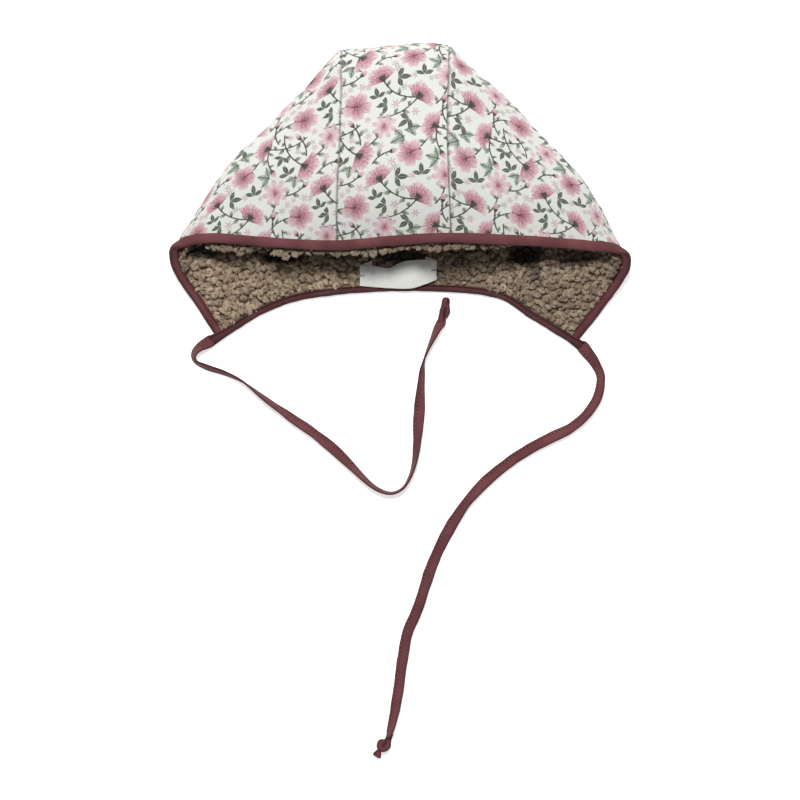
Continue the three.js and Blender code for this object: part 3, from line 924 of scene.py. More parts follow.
    # Dark leaves in threes.
    x, y, _ = g.parts(nearest(trios))
    middle = almond(x, y, 1.0, 0.2)
    sx, sy, _ = g.parts(g.mapping(g.combine(x, g.abs(y)), turn=math.radians(-66)))
    outer = almond(sx, sy, 0.82, 0.18)
    vein = g.math("MINIMUM", g.abs(y), g.abs(sy))
    shade = g.mix(g.step(vein, 0.05, 0.02), INK["dark leaf"], INK["leaf vein"])
    colour = spot(colour, g.math("MAXIMUM", middle, outer), shade, grain=0.2)

    def flowers(kind):
        """The cloth as seen from the nearest flower of a kind."""
        return nearest([(s[0], s[1], math.radians(s[2]), s[6]) for s in SPRAYS if s[5] == kind])

    # Open daisies: eight petals, paler to their tips, round a rose eye.
    seen = flowers("daisy")
    _, _, r, a, _ = polar(seen)
    streak = streaked(seen, r, 7.0, 1.2)
    petal = g.abs(g.math("COSINE", g.times(a, 4.0)))
    reach = g.times_plus(g.math("POWER", petal, 0.5), 0.7, 0.26)
    mask = g.step(g.minus(r, g.times_plus(streak, 0.12, reach)), 0.03, -0.05)
    level = g.times_plus(streak, 0.8, r)
    shade = inks(level, (0.0, "heart"), (0.14, "heart"), (0.26, "pink"), (0.6, "pale pink"), (1.0, "pink"))
    colour = spot(colour, mask, shade)

    # Rosettes: five broad petals with nicked tips, rose at the heart and paler outwards.
    seen = flowers("rosette")
    _, _, r, a, _ = polar(seen)
    streak = streaked(seen, r, 11.0, 1.6)
    petal = g.abs(g.math("COSINE", g.times(a, 2.5)))
    nick = g.times(g.math("SINE", g.times(a, 35.0)), 0.03)
    tip = g.times_plus(g.step(petal, 0.9, 1.0), -0.1, g.times(g.math("POWER", petal, 0.4), 0.52))
    edge = g.plus(g.plus(g.times_plus(streak, 0.3, 0.48), nick), tip)
    mask = g.step(g.minus(r, edge), 0.03, -0.03)
    level = g.times_plus(streak, 1.4, r)
    shade = inks(level, (0.08, "maroon"), (0.2, "heart"), (0.42, "rose"), (0.66, "pink"), (0.95, "pale pink"))
    shade = g.mix(g.times(g.step(petal, 0.35, 0.0), 0.5), shade, INK["heart"])
    colour = spot(colour, mask, shade)

    # Bells, seen from the side: two tiers of petals spread out of a dark cup.
    seen = flowers("bell")
    x, y, r, a, _ = polar(seen)
    streak = streaked(seen, r, 8.0, 1.4)
    spread = g.abs(a)
    lobes = g.abs(g.math("SINE", g.times(a, 3.2)))
    nick = g.times(g.math("SINE", g.times(a, 27.0)), 0.035)
    edge = g.plus(g.times_plus(lobes, 0.13, 0.84), g.times_plus(streak, 0.2, nick))
    mask = g.times(g.step(g.minus(r, edge), 0.025, -0.03), g.step(spread, 1.36, 1.26))
    level = g.times_plus(streak, 1.5, g.times_plus(spread, 0.1, r))
    shade = inks(level, (0.2, "maroon"), (0.36, "heart"), (0.54, "rose"), (0.76, "pink"), (1.0, "pale pink"))
    tier = g.abs(g.math("COSINE", g.times(a, 3.9)))
    tier = g.minus(r, g.times_plus(tier, 0.1, 0.54))
    under = g.times(g.step(tier, -0.02, 0.02), g.step(tier, 0.14, 0.03))
    shade = g.mix(g.times(under, 0.45), shade, INK["heart"])
    colour = spot(colour, mask, shade)
    colour = spot(colour, cup(x, y, 0.4, 0.42), INK["dark leaf"], grain=0.15)

    # Buds: a closed petal in a small cup.
    x, y, _ = g.parts(flowers("bud"))
    level = g.plus(x, g.times(g.minus(stipple, 0.5), 1.2))
    shade = g.mix(g.step(level, 0.3, 0.9), INK["rose"], INK["pale pink"])
    colour = spot(colour, almond(x, y, 1.0, 0.26), shade)
    colour = spot(colour, cup(x, y, 0.5, 0.44), INK["dark leaf"], grain=0.15)
    g.put(leave.inputs[0], colour)
    return group


def weave_group():
    """Node group: a fine weave in mm. Twill turns it from plain threads to slanting ribs."""
    group, g, entry, leave = new_group(
        "Fine weave",
        [("Cloth", "vector", None), ("Pitch", "float", 0.8), ("Twill", "float", 1.0)],
        [("Height", "float"), ("Shade", "float")],
    )
    x, y, _ = g.parts(entry.outputs[0])
    turn = g.math("DIVIDE", 2 * math.pi, entry.outputs["Pitch"])
    rib = g.math("SINE", g.times(g.plus(x, y), turn))
    warp = g.math("SINE", g.times(x, g.times(turn, 1.4)))
    weft = g.math("SINE", g.times(y, g.times(turn, 1.4)))
    plain = g.times(warp, weft)
    woven = g.mix(entry.outputs["Twill"], plain, rib, kind="FLOAT")
    slub = g.noise(entry.outputs[0], 1.7, detail=3.0, rough=0.6)
    height = g.times_plus(slub, 0.8, g.times(woven, 0.5))
    g.put(leave.inputs[0], height)
    g.put(leave.inputs[1], g.times_plus(height, 0.11, 0.92))
    return group


def stitch_group():
    """Node group: a row of stitches along u, a distance up v, both in mm."""
    group, g, entry, leave = new_group(
        "Stitch row",
        [
            ("Cloth", "vector", None),
            ("Line", "float", 1.0),
            ("Pitch", "float", 2.6),
            ("Length", "float", 0.66),
        ],
        [("Mask", "float"), ("Groove", "float")],
    )
    x, y, _ = g.parts(entry.outputs[0])
    aside = g.abs(g.minus(y, entry.outputs["Line"]))
    run = g.math("FRACT", g.math("DIVIDE", x, entry.outputs["Pitch"]))
    middle = g.abs(g.minus(run, 0.5))
    within = g.minus(middle, g.times(entry.outputs["Length"], 0.5))
    thread = g.times(g.step(within, 0.04, -0.04), g.step(aside, 0.3, 0.14))
    g.put(leave.inputs[0], thread)
    g.put(leave.inputs[1], g.step(aside, 0.2, 0.75))
    return group


# Darker and lighter places of the tape: painted shade at its folds and in its grooves, its stitch holes and
# thread. Then the pile's painted shade, and the label's and its thread's two colours.
TAPE_SHADES = {
    "fold": srgb(48, 25, 26),
    "groove": srgb(48, 24, 24),
    "hole": srgb(66, 28, 30),
    "stitch": srgb(146, 92, 90),
}
PILE_PAINTED_SHADE = srgb(17, 13, 11)
LABEL_COLOURS = (srgb(236, 238, 229), srgb(248, 248, 241))
THREAD_COLOURS = (srgb(72, 70, 66), srgb(112, 110, 104))

MADE = {}


def once(maker):
    """The node group or material that the maker makes, which is made the first time only."""
    if maker not in MADE:
        MADE[maker] = maker()
    return MADE[maker]


def printed_cloth():
    material, g, shader = new_material("Printed cloth")
    uv = cloth_uv(g)
    ink = placed(g, once(print_group), Cloth=uv).outputs[0]
    weave = placed(g, once(weave_group), Cloth=uv, Pitch=1.5, Twill=0.9)
    fade = g.times_plus(g.noise(uv, 0.05, detail=3.0), 0.06, 0.96)
    shade = g.times(weave.outputs["Shade"], fade)
    # Painted shade: the cloth is darker where it rolls into its seams.
    seam = g.node("ShaderNodeAttribute", attribute_name="seam").outputs["Fac"]
    shade = g.times(shade, g.times_plus(seam, -0.32, 1.0))
    soft = g.noise(object_place(g), 90, detail=3.0)
    height = g.times_plus(soft, 0.6, g.times(weave.outputs["Height"], 0.35))
    g.fill(
        shader, Base_Color=g.tinted(ink, shade), Normal=bump(g, height, 0.22 * MM, 0.8),
        Roughness=0.86, Sheen_Weight=0.12, Sheen_Roughness=0.5,
    )
    return material


def tape_cloth(name, stitched=(), sunk=(), shaded_folds=(), reach=2.8, overall_shade=0.0):
    """The bias tape's cloth.

    stitched, sunk and dusky say how far round a tape, in mm, its rows of stitches, its grooves and its folds
    lie. Painted shade darkens the grooves, and the folds within reach, and dusk is painted shade over all of
    it."""
    if name in bpy.data.materials:
        return bpy.data.materials[name]
    settings = bpy.context.scene.bonnet_tape
    material, g, shader = new_material(name)
    uv = cloth_uv(g)
    weave = placed(g, once(weave_group), Cloth=uv, Pitch=0.5, Twill=0.2)
    cloud = g.noise(object_place(g), 60, detail=3.0)
    colour = g.mix(g.step(cloud, 0.35, 0.7), (*settings.colour, 1.0), (*settings.highlight, 1.0))
    colour = g.tinted(colour, weave.outputs["Shade"])
    height = g.times(weave.outputs["Height"], 0.25)
    # Painted shade darkens the tape at each fold, and a little all over.
    for fold in shaded_folds:
        aside = g.abs(g.minus(g.parts(uv)[1], fold))
        shaded = g.times_plus(g.step(aside, reach, 0.1 * reach), 0.65, overall_shade)
        colour = g.mix(shaded, colour, TAPE_SHADES["fold"])
    # Painted shade darkens each groove.
    for line in sunk:
        row = placed(g, once(stitch_group), Cloth=uv, Line=line)
        dark = g.times(g.step(row.outputs["Groove"], 1.0, 0.2), 0.7)
        colour = g.mix(dark, colour, TAPE_SHADES["groove"])
        height = g.plus(height, row.outputs["Groove"])
    for line in stitched:
        row = placed(g, once(stitch_group), Cloth=uv, Line=line, Pitch=settings.stitch_pitch, Length=0.55)
        thread, groove = row.outputs["Mask"], g.step(row.outputs["Groove"], 0.7, 0.1)
        hole = g.math("SUBTRACT", groove, thread, clamp=True)
        colour = g.mix(g.times(hole, 0.75), colour, TAPE_SHADES["hole"])
        colour = g.mix(g.times(thread, 0.8), colour, TAPE_SHADES["stitch"])
        height = g.plus(height, g.times_plus(thread, 0.7, g.times(row.outputs["Groove"], 0.8)))
    g.fill(
        shader, Base_Color=colour, Normal=bump(g, height, 0.25 * MM, 0.7),
        Roughness=0.8, Specular_IOR_Level=0.25, Sheen_Weight=0.06, Sheen_Roughness=0.4,
    )
    return material


def pile_cloth():
    settings = bpy.context.scene.bonnet_pile
    material, g, shader = new_material("Curly pile")
    place = object_place(g)
    tone = g.node("ShaderNodeAttribute", attribute_name="curl")
    parts = g.node("ShaderNodeSeparateColor")
    g.put(parts.inputs[0], tone.outputs["Color"])
    raised, own = parts.outputs[0], parts.outputs[1]
    fibre = g.noise(place, 1100, detail=3.0, rough=0.7, distortion=0.6)
    swirl = g.noise(place, 620, detail=2.0, rough=0.6, distortion=2.5)
    clump = g.noise(place, 220, detail=2.0)
    level = g.times_plus(fibre, 0.5, g.times_plus(own, 0.3, g.times(clump, 0.25)))
    level = g.minus(g.times_plus(swirl, 0.6, level), 0.32)
    colour = g.mix(g.step(level, 0.2, 0.85), (*settings.colour, 1.0), (*settings.tip_colour, 1.0))
    # Painted shade: the pile is darker deep down, between the curls.
    colour = g.mix(g.step(raised, 0.4, 0.0), colour, (*settings.deep_shade_colour, 1.0))
    # Painted shade in the partings, over the lining's right half and on the fringe.
    colour = g.mix(g.times(parts.outputs[2], 0.97), colour, PILE_PAINTED_SHADE)
    strands = g.times_plus(fibre, 0.6, swirl)
    g.fill(
        shader, Base_Color=colour, Normal=bump(g, strands, 0.6 * MM, 0.9),
        Roughness=0.95, Specular_IOR_Level=0.2, Sheen_Weight=0.2, Sheen_Roughness=0.6,
        Subsurface_Weight=0.3, Subsurface_Radius=(1.0, 0.75, 0.55), Subsurface_Scale=1.5 * MM,
    )
    return material


def label_cloth():
    material, g, shader = new_material("Woven label")
    uv = cloth_uv(g)
    weave = placed(g, once(weave_group), Cloth=uv, Pitch=0.45, Twill=0.0)
    worn = g.noise(uv, 0.35, detail=3.0)
    colour = g.mix(worn, *LABEL_COLOURS)
    g.fill(
        shader, Base_Color=g.tinted(colour, weave.outputs["Shade"]), Roughness=0.5, Sheen_Weight=0.3,
        Normal=bump(g, weave.outputs["Height"], 0.1 * MM, 0.7),
    )
    return material


def thread_cloth():
    material, g, shader = new_material("Grey thread")
    twist = g.noise(object_place(g), 1500, detail=1.0)
    g.fill(shader, Base_Color=g.mix(twist, *THREAD_COLOURS), Roughness=0.8)
    return material


def dress(piece, material, slot, *replaced):
    """Gives a piece its finish, its body and the solids that it stands for."""
    piece.data.materials.clear()
    piece.data.materials.append(material)
    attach(piece, ROOT)
    if replaced:
        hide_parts(*replaced)


# Cloth panels

def cloth_relief(grid, base, flat):
    """How far the outer face stands out of the plain shell: soft dents, puckers by the tape, rolled seams."""
    settings = bpy.context.scene.bonnet_cloth
    lifted = smooth(1 * MM, 14 * MM, base[..., 2])
    dents = settings.dents * (0.7 * ripple(base, 58 * MM, 3) + 0.35 * ripple(base, 26 * MM, 4))
    share = np.broadcast_to(grid.all_shares, base.shape[:-1])
    free = smooth(1.0, 0.93, share)
    near_edge = smooth(0.86, 0.96, share) * smooth(1.0, 0.975, share)
    puckers = 0.3 * MM * near_edge * ripple(base * np.array([1, 0.25, 0.25]), 8.5 * MM, 5)
    seam = grid.from_seams(flat)
    shoulder = 0.35 * MM * smooth(9 * MM, 5 * MM, seam)
    roll = settings.seam_roll
    gone = np.clip(1 - seam / roll, 0, 1)
    rolled = roll * (1 - np.sqrt(1 - gone ** 2))
    return lifted * (free * (dents + shoulder) + puckers) - np.where(base[..., 2] > OFF_FLOOR, rolled, 0.0)


def cloth_panel(name, grid, node):
    """One panel of printed cloth, as a closed wall, in place of its solid."""
    base = grid.points(np.zeros((1, 1)))
    flat = grid.flat(base)
    relief = cloth_relief(grid, base, flat)
    points = grid.points(-relief)
    # How much painted shade the cloth gets by its seams, where it stands off the floor.
    seams = smooth(1.1 * MM, 0.2 * MM, grid.from_seams(flat)) * (base[..., 2] > OFF_FLOOR)
    piece = grid_piece(name, points, flat, seams)
    edit_all(piece, bpy.ops.mesh.remove_doubles, threshold=MERGED)
    turn_outward(piece, HEAD_MIDDLE)
    modify(piece, "SOLIDIFY", thickness=CLOTH_WALL, offset=-1)
    finish_mesh(piece)
    dress(piece, once(printed_cloth), "printed_cloth", node)


# Bindings

# Which corner of the binding's outline, counted from its outer edge, is at its fold.
FOLD_CORNER = 6
# At the chin corners the face tape is pressed flat over CORNER_FLAT and runs on a little. The neck tape
# rises over it by CORNER_HUMP and ends so far along each tie.
CORNER_FLAT = 11 * MM
CORNER_HUMP = 1.3 * MM
TAPE_RUNS_ON = 1.6 * MM
TAPE_ON_TIE = 2.6 * MM
# Painted shade over all of the neck tape: how far its colour goes over into the dark of its folds.
NECK_PAINTED_SHADE = 0.34


def ring_lines(section, corners):
    """How far round a ring its corners of those numbers lie, in mm."""
    steps = np.linalg.norm(np.roll(section, -1, axis=0) - section, axis=1)
    return tuple(float(steps[:corner].sum() / MM) for corner in corners)


def tape_section(start, fold, thick, count=8):
    """The binding's outline, folded round the edge: (out along the cloth, into the hat)."""
    middle = thick / 2

    def path(half, reach):
        round_end = 0.62 * (reach - start)
        outer = [(start, middle - 0.86 * half)]
        inner = [(start, middle + 0.86 * half)]
        points = outer + [(start + 0.2 * (reach - start), middle - 0.97 * half)]
        for k in range(count + 1):
            angle = math.pi * k / count
            points.append((reach - round_end + round_end * math.sin(angle), middle - half * math.cos(angle)))
        # Inside, the seam that holds the tape draws it into a groove.
        groove = [(0.3, 0.66), (0.24, 0.66), (0.13, 0.94)]
        points += [(start + share * (reach - start), middle + rise * half) for share, rise in groove] + inner
        return points

    outer = path(middle + TAPE_PROUD, fold)
    inner = path(middle + TAPE_PROUD - TAPE_WALL, fold - TAPE_WALL)
    return np.array(outer + inner[::-1])


def ring_on_tie(section, frame, outward):
    """The binding's outline squeezed flat onto the start of a tie."""
    centre, along, wide, deep = frame
    middle = 0.5 * (section.max(axis=0) + section.min(axis=0))
    half = section.max(axis=0) - middle
    out, into = ((section - middle) / half).T
    side = math.copysign(1.0, float(wide @ outward))
    return (
        centre
        + TAPE_ON_TIE * along
        + side * 0.5 * TIE_WIDTH * out[:, None] * wide
        + 0.42 * TIE_THICK * into[:, None] * deep
    )


def binding_piece(name, rows, count, tape, node, seed, ties=None):
    """A tape with that many rings round an edge. Where ties are given, it runs on into their first frames."""
    lines = Meridians(rows, np.linspace(0, len(rows) - 1, count))
    edge, along, inward, outward = lines.edge, lines.along, lines.inward, lines.outward
    thick = LINING_FROM + PILE_AT_EDGE
    section = tape_section(*tape, thick)
    out, into = section[:, 0], section[:, 1]
    run = run_along(edge)
    if ties is None:
        # Flat at the chin corners, where the neck tape passes over it.
        from_end = np.minimum(run, run[-1] - run)
        flat = 0.5 + 0.5 * smooth(0, CORNER_FLAT, from_end)
    else:
        flat = np.ones(len(run))
    into_hat = (flat[:, None] * into)[..., None] * inward[:, None]
    rings = edge[:, None] + out[None, :, None] * outward[:, None] + into_hat
    # The tape pulls a little on its bias, so its folded edge runs in slanting puckers.
    skew = rings + 2.5 * outward[:, None] * (into / thick)[None, :, None] * MM
    pull = 0.07 * MM * ripple(skew, 6.5 * MM, seed) + 0.1 * MM * ripple(rings, 24 * MM, seed + 1)
    away = unit(rings - rings.mean(axis=1, keepdims=True))
    rings = rings + pull[..., None] * away
    if ties is None:
        before = rings[:1] - TAPE_RUNS_ON * along[0]
        after = rings[-1:] + TAPE_RUNS_ON * along[-1]
        rings = np.concatenate([before, rings, after])
    else:
        # Past both chin corners it rises over the face tape, narrows and runs on as the ties.
        shares = np.linspace(0, 1, 12)[1:]
        first = ring_on_tie(section, ties[0], outward[0])
        last = ring_on_tie(section, ties[1], outward[-1])
        blend = smooth(0, 1, shares)[:, None, None]
        hump = CORNER_HUMP * np.sin(math.pi * shares)[:, None, None] * UP
        before = rings[:1] * (1 - blend) + first * blend + hump
        after = rings[-1:] * (1 - blend) + last * blend + hump
        rings = np.concatenate([before[::-1], rings, after])
    rings[..., 2] = np.maximum(rings[..., 2], BINDING_CLEAR)
    piece = rod(name, rings[:, ::-1])
    finish_mesh(piece, 50)
    # Counted backwards round the outline, the inner lap's groove comes after the wall's inside.
    outline = len(section) // 2
    groove, fold = ring_lines(section[::-1], (outline + 2, 2 * outline - 1 - FOLD_CORNER))
    # Only the neck tape gets painted shade all over.
    overall_shade = 0.0 if ties is None else NECK_PAINTED_SHADE
    cloth = tape_cloth(f"Bound {node.split('_')[0]} tape", sunk=(groove,), shaded_folds=(fold,), overall_shade=overall_shade)
    dress(piece, cloth, "bias_tape", node)


# Ties

def tie_frames(route, step):
    """Even places along a tie, with its directions there, from its route's points."""
    table = np.array(route)
    fine = np.linspace(0, len(table) - 1, len(table) * 40)
    points = splined(table, fine)
    run = run_along(points[:, :2])
    count = int(run[-1] / step)
    places = np.interp(np.linspace(0, run[-1], count + 1), run, fine)
    points = splined(table, places)
    roll = np.radians(points[:, 2])
    half = 0.5 * TIE_WIDTH * np.abs(np.sin(roll)) + 0.5 * TIE_THICK * np.abs(np.cos(roll)) + 0.1 * MM
    centre = np.stack([points[:, 0], points[:, 1], half], axis=-1)
    along = np.gradient(centre, axis=0)
    along[:, 2] = 0
    along = unit(along)
    flat = np.cross(UP, along)
    wide = flat * np.cos(roll)[:, None] + UP * np.sin(roll)[:, None]
    deep = np.cross(along, wide)
    return centre, along, wide, deep


def tie_piece(name, route, node):
    """A tie as a closed rod, and the line through its middle."""
    centre, _, wide, deep = tie_frames(route, TIE_STEP)
    w, h = TIE_WIDTH / 2, TIE_THICK / 2
    # One side is the fold and is round. The other is stitched, with its two edges a little apart.
    half = [
        (w, 0.0), (0.93 * w, 0.62 * h), (0.7 * w, h), (0.2 * w, 1.05 * h),
        (-0.5 * w, 0.66 * h), (-0.72 * w, 0.98 * h), (-w, 0.7 * h), (-0.93 * w, 0.0),
    ]
    section = np.array(half + [(across, -rise) for across, rise in half[-2:0:-1]])
    run = TIE_STEP * np.arange(len(centre))[:, None]
    broad = 1 + 0.15 * smooth(26 * MM, 3 * MM, run)
    tucked = 0.55 + 0.45 * smooth(-1 * MM, 2.5 * MM, run) * smooth(-1 * MM, 3 * MM, run[-1] - run)
    across = (broad * tucked)[..., None] * section[None, :, :1] * wide[:, None]
    rings = centre[:, None] + across + tucked[..., None] * section[None, :, 1:] * deep[:, None]
    away = unit(rings - rings.mean(axis=1, keepdims=True))
    uneven = 0.09 * MM * ripple(rings, 7 * MM, 21) + 0.12 * MM * ripple(rings, 19 * MM, 22)
    rings = rings + uneven[..., None] * away
    rings[..., 2] = np.maximum(rings[..., 2], TAPE_CLEAR)
    piece = rod(name, rings)
    finish_mesh(piece, 50)
    # Painted shade along the tie's fold and its stitched edge.
    stitched, folds = ring_lines(section, (4, 10)), ring_lines(section, (0, 7, 14))
    cloth = tape_cloth("Tie tape", stitched, shaded_folds=folds, reach=1.5)
    dress(piece, cloth, "bias_tape", node)
    path = [tuple(float(v) for v in point) for point in rings.mean(axis=1)]
    return piece, path


# The tape's way through each knot: along its heading, aside to the left, up from the floor, and the tape's
# half width there, in mm.
KNOT_WAY_LEFT = [
    (-4.0, 0.6, 1.9, 2.4),
    (-1.0, 0.4, 2.2, 2.5),
    (2.0, 0.7, 2.8, 2.2),
    (5.0, 1.0, 3.8, 1.9),
    (7.6, -0.2, 4.3, 1.9),
    (6.6, -1.5, 4.1, 1.9),
    (3.6, -1.7, 3.6, 1.9),
    (1.6, -1.0, 2.4, 1.7),
    (3.4, 0.4, 1.6, 1.7),
    (6.6, 0.2, 1.9, 2.3),
    (8.8, 0.0, 2.7, 2.5),
    (10.9, -0.1, 2.5, 2.5),
    (12.4, -0.1, 2.1, 2.3),
    (13.0, -0.1, 1.9, 1.6),
]
KNOT_WAY_RIGHT = [
    (-3.0, 0.4, 1.9, 2.0),
    (0.4, 0.9, 2.4, 2.1),
    (2.8, 1.5, 3.1, 2.3),
    (5.2, 2.0, 3.9, 2.4),
    (7.0, 0.9, 4.3, 2.4),
    (6.9, -0.9, 4.3, 2.5),
    (5.2, -1.9, 3.8, 2.4),
    (4.0, -0.7, 3.0, 2.2),
    (5.0, 0.4, 2.2, 1.9),
    (7.2, 0.0, 1.8, 1.7),
    (9.6, -0.4, 1.8, 1.6),
    (11.6, -0.4, 1.8, 2.4),
    (13.2, -0.3, 1.7, 2.9),
    (13.7, -0.3, 1.6, 2.4),
]


def knot_piece(name, end, heading, way, node):
    """An overhand knot in the tape with a short tail: the tape's way through itself, as one closed rod."""
    turn = math.radians(heading)
    forth = np.array([math.cos(turn), math.sin(turn), 0.0])
    side = np.cross(UP, forth)
    fine = splined(MM * np.array(way), np.linspace(0, len(way) - 1, 84))
    centre = np.array([end[0], end[1], 0.0]) + fine[:, :1] * forth + fine[:, 1:2] * side + fine[:, 2:3] * UP
    along = unit(np.gradient(centre, axis=0))
    wide = unit(np.cross(UP, along) + 0.3 * side)
    wide = unit(wide - along * np.sum(wide * along, axis=1, keepdims=True))
    deep = np.cross(along, wide)
    angles = np.linspace(0, 2 * math.pi, 13)[:-1]
    half = fine[:, 3:4]
    rings = (
        centre[:, None]
        + (half * np.cos(angles))[..., None] * wide[:, None]
        + (0.6 * half * np.sin(angles))[..., None] * deep[:, None]
    )
    rings = rings + (0.12 * MM * ripple(rings, 3.2 * MM, 23))[..., None] * unit(rings - centre[:, None])
    rings[..., 2] = np.maximum(rings[..., 2], TAPE_CLEAR)
    piece = rod(name, rings)
    finish_mesh(piece)
    ring = rings[len(rings) // 2]
    # Painted shade in two lines round the knot's tape and along its folds.
    sunk, folds = ring_lines(ring, (4, 8)), ring_lines(ring, (0, 6, 12))
    cloth = tape_cloth(f"Tape of {node}", sunk=sunk, shaded_folds=folds, reach=1.7)
    dress(piece, cloth, "bias_tape", node)
    return piece


# Lining

# The pile's backing, how far its curls rise from it, how deep in the pile their middles lie, and how much
# less deep near the edge, and the share of the way to the edge at which the curls end.
BACKING = 1.0 * MM
CURL_RISE = 2.6 * MM
CURL_SINK = 1.5 * MM
EDGE_RISE = 0.5 * MM
CURLS_END = 1.003
# The fringe's ends, and where it starts and stops hanging out over the brow, as rows of FACE_EDGE.
FRINGE_FROM = 2.2
FRINGE_TO = 13.8
BROW_FROM = (4.2, 4.9)
BROW_TO = (10.3, 9.4)
# How many places are tried for each curl that fits, and for a panel's part of the fringe.
TRIES_PER_CURL = 7
FRINGE_TRIES = 900

# Folds in the lower lining, seen from above, in mm: from x, y to x, y, how high and how wide.
LINING_FOLDS = [
    (88, -26, 95, -66, 6.0, 7.0),
    (-96, -34, -84, -62, 2.5, 8.0),
]


def fold_lift(points):
    """How far folds lift the lower lining at points."""
    lift = np.zeros(points.shape[:-1])
    for x0, y0, x1, y1, height, width in LINING_FOLDS:
        start = MM * np.array([x0, y0])
        way = MM * np.array([x1 - x0, y1 - y0])
        length = np.linalg.norm(way)
        away = points[..., :2] - start
        along = (away @ way) / length ** 2
        aside = np.abs(away[..., 0] * way[1] - away[..., 1] * way[0]) / length
        fade = smooth(-0.25, 0.1, along) * smooth(1.2, 0.9, along)
        lift += MM * height * fade * np.exp(-(aside / (MM * width * 0.6)) ** 2)
    return lift * smooth(16 * MM, 8 * MM, points[..., 2])


def lining_sheet(name, grid):
    """The backing of a lining panel as a closed wall, and its flat size and area."""
    share = grid.all_shares
    plain = np.maximum(pile_depth(share) - CURL_RISE, LINING_FROM + BACKING)
    base = grid.points(plain)
    flat = grid.flat(base)
    lumps = 0.25 * MM * ripple(base, 6 * MM, 31)
    lumps = lumps * smooth(1.0, 0.95, np.broadcast_to(share, lumps.shape))
    points = grid.points(plain + lumps + fold_lift(base))
    piece = grid_piece(name, points, flat)
    edit_all(piece, bpy.ops.mesh.remove_doubles, threshold=MERGED)
    turn_outward(piece, HEAD_MIDDLE)
    modify(piece, "SOLIDIFY", thickness=BACKING, offset=1)
    finish_mesh(piece)
    size, area = flat_size(flat)
    return piece, size, area


def curl_shape(segments=7, sides=6):
    """One curl of pile: a fat closed rod, coiled like a snail and raised in the middle, of radius 1."""
    place = np.linspace(0, 1, segments + 1)
    turn = math.pi * 2.3 * place
    coil = 1 - 0.86 * place ** 0.8
    thick = 0.62 * np.sin(math.pi * (0.14 + 0.62 * place)) ** 0.5
    centre = np.stack([coil * np.cos(turn), coil * np.sin(turn), 0.55 * place], axis=-1)
    around = np.linspace(0, 2 * math.pi, sides + 1)[:-1]
    out = np.stack([np.cos(turn), np.sin(turn), np.zeros_like(turn)], axis=-1)
    rings = (
        centre[:, None]
        + (thick[:, None] * np.cos(around))[..., None] * out[:, None]
        + (0.85 * thick[:, None] * np.sin(around))[..., None] * UP
    )
    i, j = np.meshgrid(np.arange(segments), np.arange(sides), indexing="ij")
    k = (j + 1) % sides
    quads = np.stack([i * sides + j, (i + 1) * sides + j, (i + 1) * sides + k, i * sides + k], axis=-1)
    # Each end is closed by two quads across its ring of six.
    first = np.array([[0, 1, 2, 3], [0, 3, 4, 5]])
    last = segments * sides + np.array([[3, 2, 1, 0], [5, 4, 3, 0]])
    return rings.reshape(-1, 3), np.concatenate([quads.reshape(-1, 4), first, last])


def spaced_out(points, gap):
    """The indices of points, taken in order, that keep the gap to all taken before them."""
    cells = defaultdict(list)
    taken = []
    steps = (-1, 0, 1)
    beside = [(i, j, k) for i in steps for j in steps for k in steps]

    def crowded(x, y, z, cell):
        for i, j, k in beside:
            for m in cells.get((cell[0] + i, cell[1] + j, cell[2] + k), ()):
                px, py, pz = points[m] / gap
                if (px - x) ** 2 + (py - y) ** 2 + (pz - z) ** 2 < 1:
                    return True
        return False

    for n, (x, y, z) in enumerate(points / gap):
        cell = (math.floor(x), math.floor(y), math.floor(z))
        if not crowded(x, y, z, cell):
            cells[cell].append(n)
            taken.append(n)
    return np.array(taken)


def scattered(points, inward, shares, count, rng):
    """Points strewn evenly over a grid's surface, with the way into the hat and their share at each."""
    a, b = points[:-1, :-1], points[1:, :-1]
    c, d = points[1:, 1:], points[:-1, 1:]
    area = 0.5 * np.linalg.norm(np.cross(c - a, d - b), axis=-1).ravel()
    chosen = rng.choice(area.size, size=count, p=area / area.sum())
    i, j = np.unravel_index(chosen, points[:-1, :-1].shape[:2])
    u = rng.random((count, 1))
    v = rng.random((count, 1))

    def blend(field):
        low = field[i, j] * (1 - u) + field[i + 1, j] * u
        high = field[i, j + 1] * (1 - u) + field[i + 1, j + 1] * u
        return low * (1 - v) + high * v

    return blend(points), unit(blend(inward)), blend(shares[..., None])[:, 0]


# Places of the lower lining with painted shade, seen from above, in mm: x, y, how wide, how high and how
# dark.
# All but the last two are partings of the pile under the brow. Those two paint shade on its right half.
LINING_PAINTED_SHADE = [
    (-121, -35.5, 12, 5.5, 0.9),
    (-73, -38.5, 15, 5, 1.0),
    (-98, -37, 10, 3.5, 0.5),
    (-36, -38, 14, 4, 0.6),
    (0, -38, 20, 4.5, 0.9),
    (34, -37, 10, 4, 0.6),
    (78, -37.5, 13, 7.5, 1.0),
    (84, -48, 4, 8, 0.6),
    (111, -39, 14, 5, 0.7),
    (104, -56, 40, 30, 0.2),
    (46, -47, 30, 14, 0.2),
]


def painted_shade_at(points):
    """How much painted shade the lower lining gets at points, from 0 to 1."""
    depth = np.zeros(points.shape[:-1])
    for x, y, wide, high, dark in LINING_PAINTED_SHADE:
        away = np.hypot((points[..., 0] / MM - x) / wide, (points[..., 1] / MM - y) / high)
        depth = np.maximum(depth, dark * smooth(1.25, 0.55, away))
    return depth * smooth(22 * MM, 14 * MM, points[..., 2])


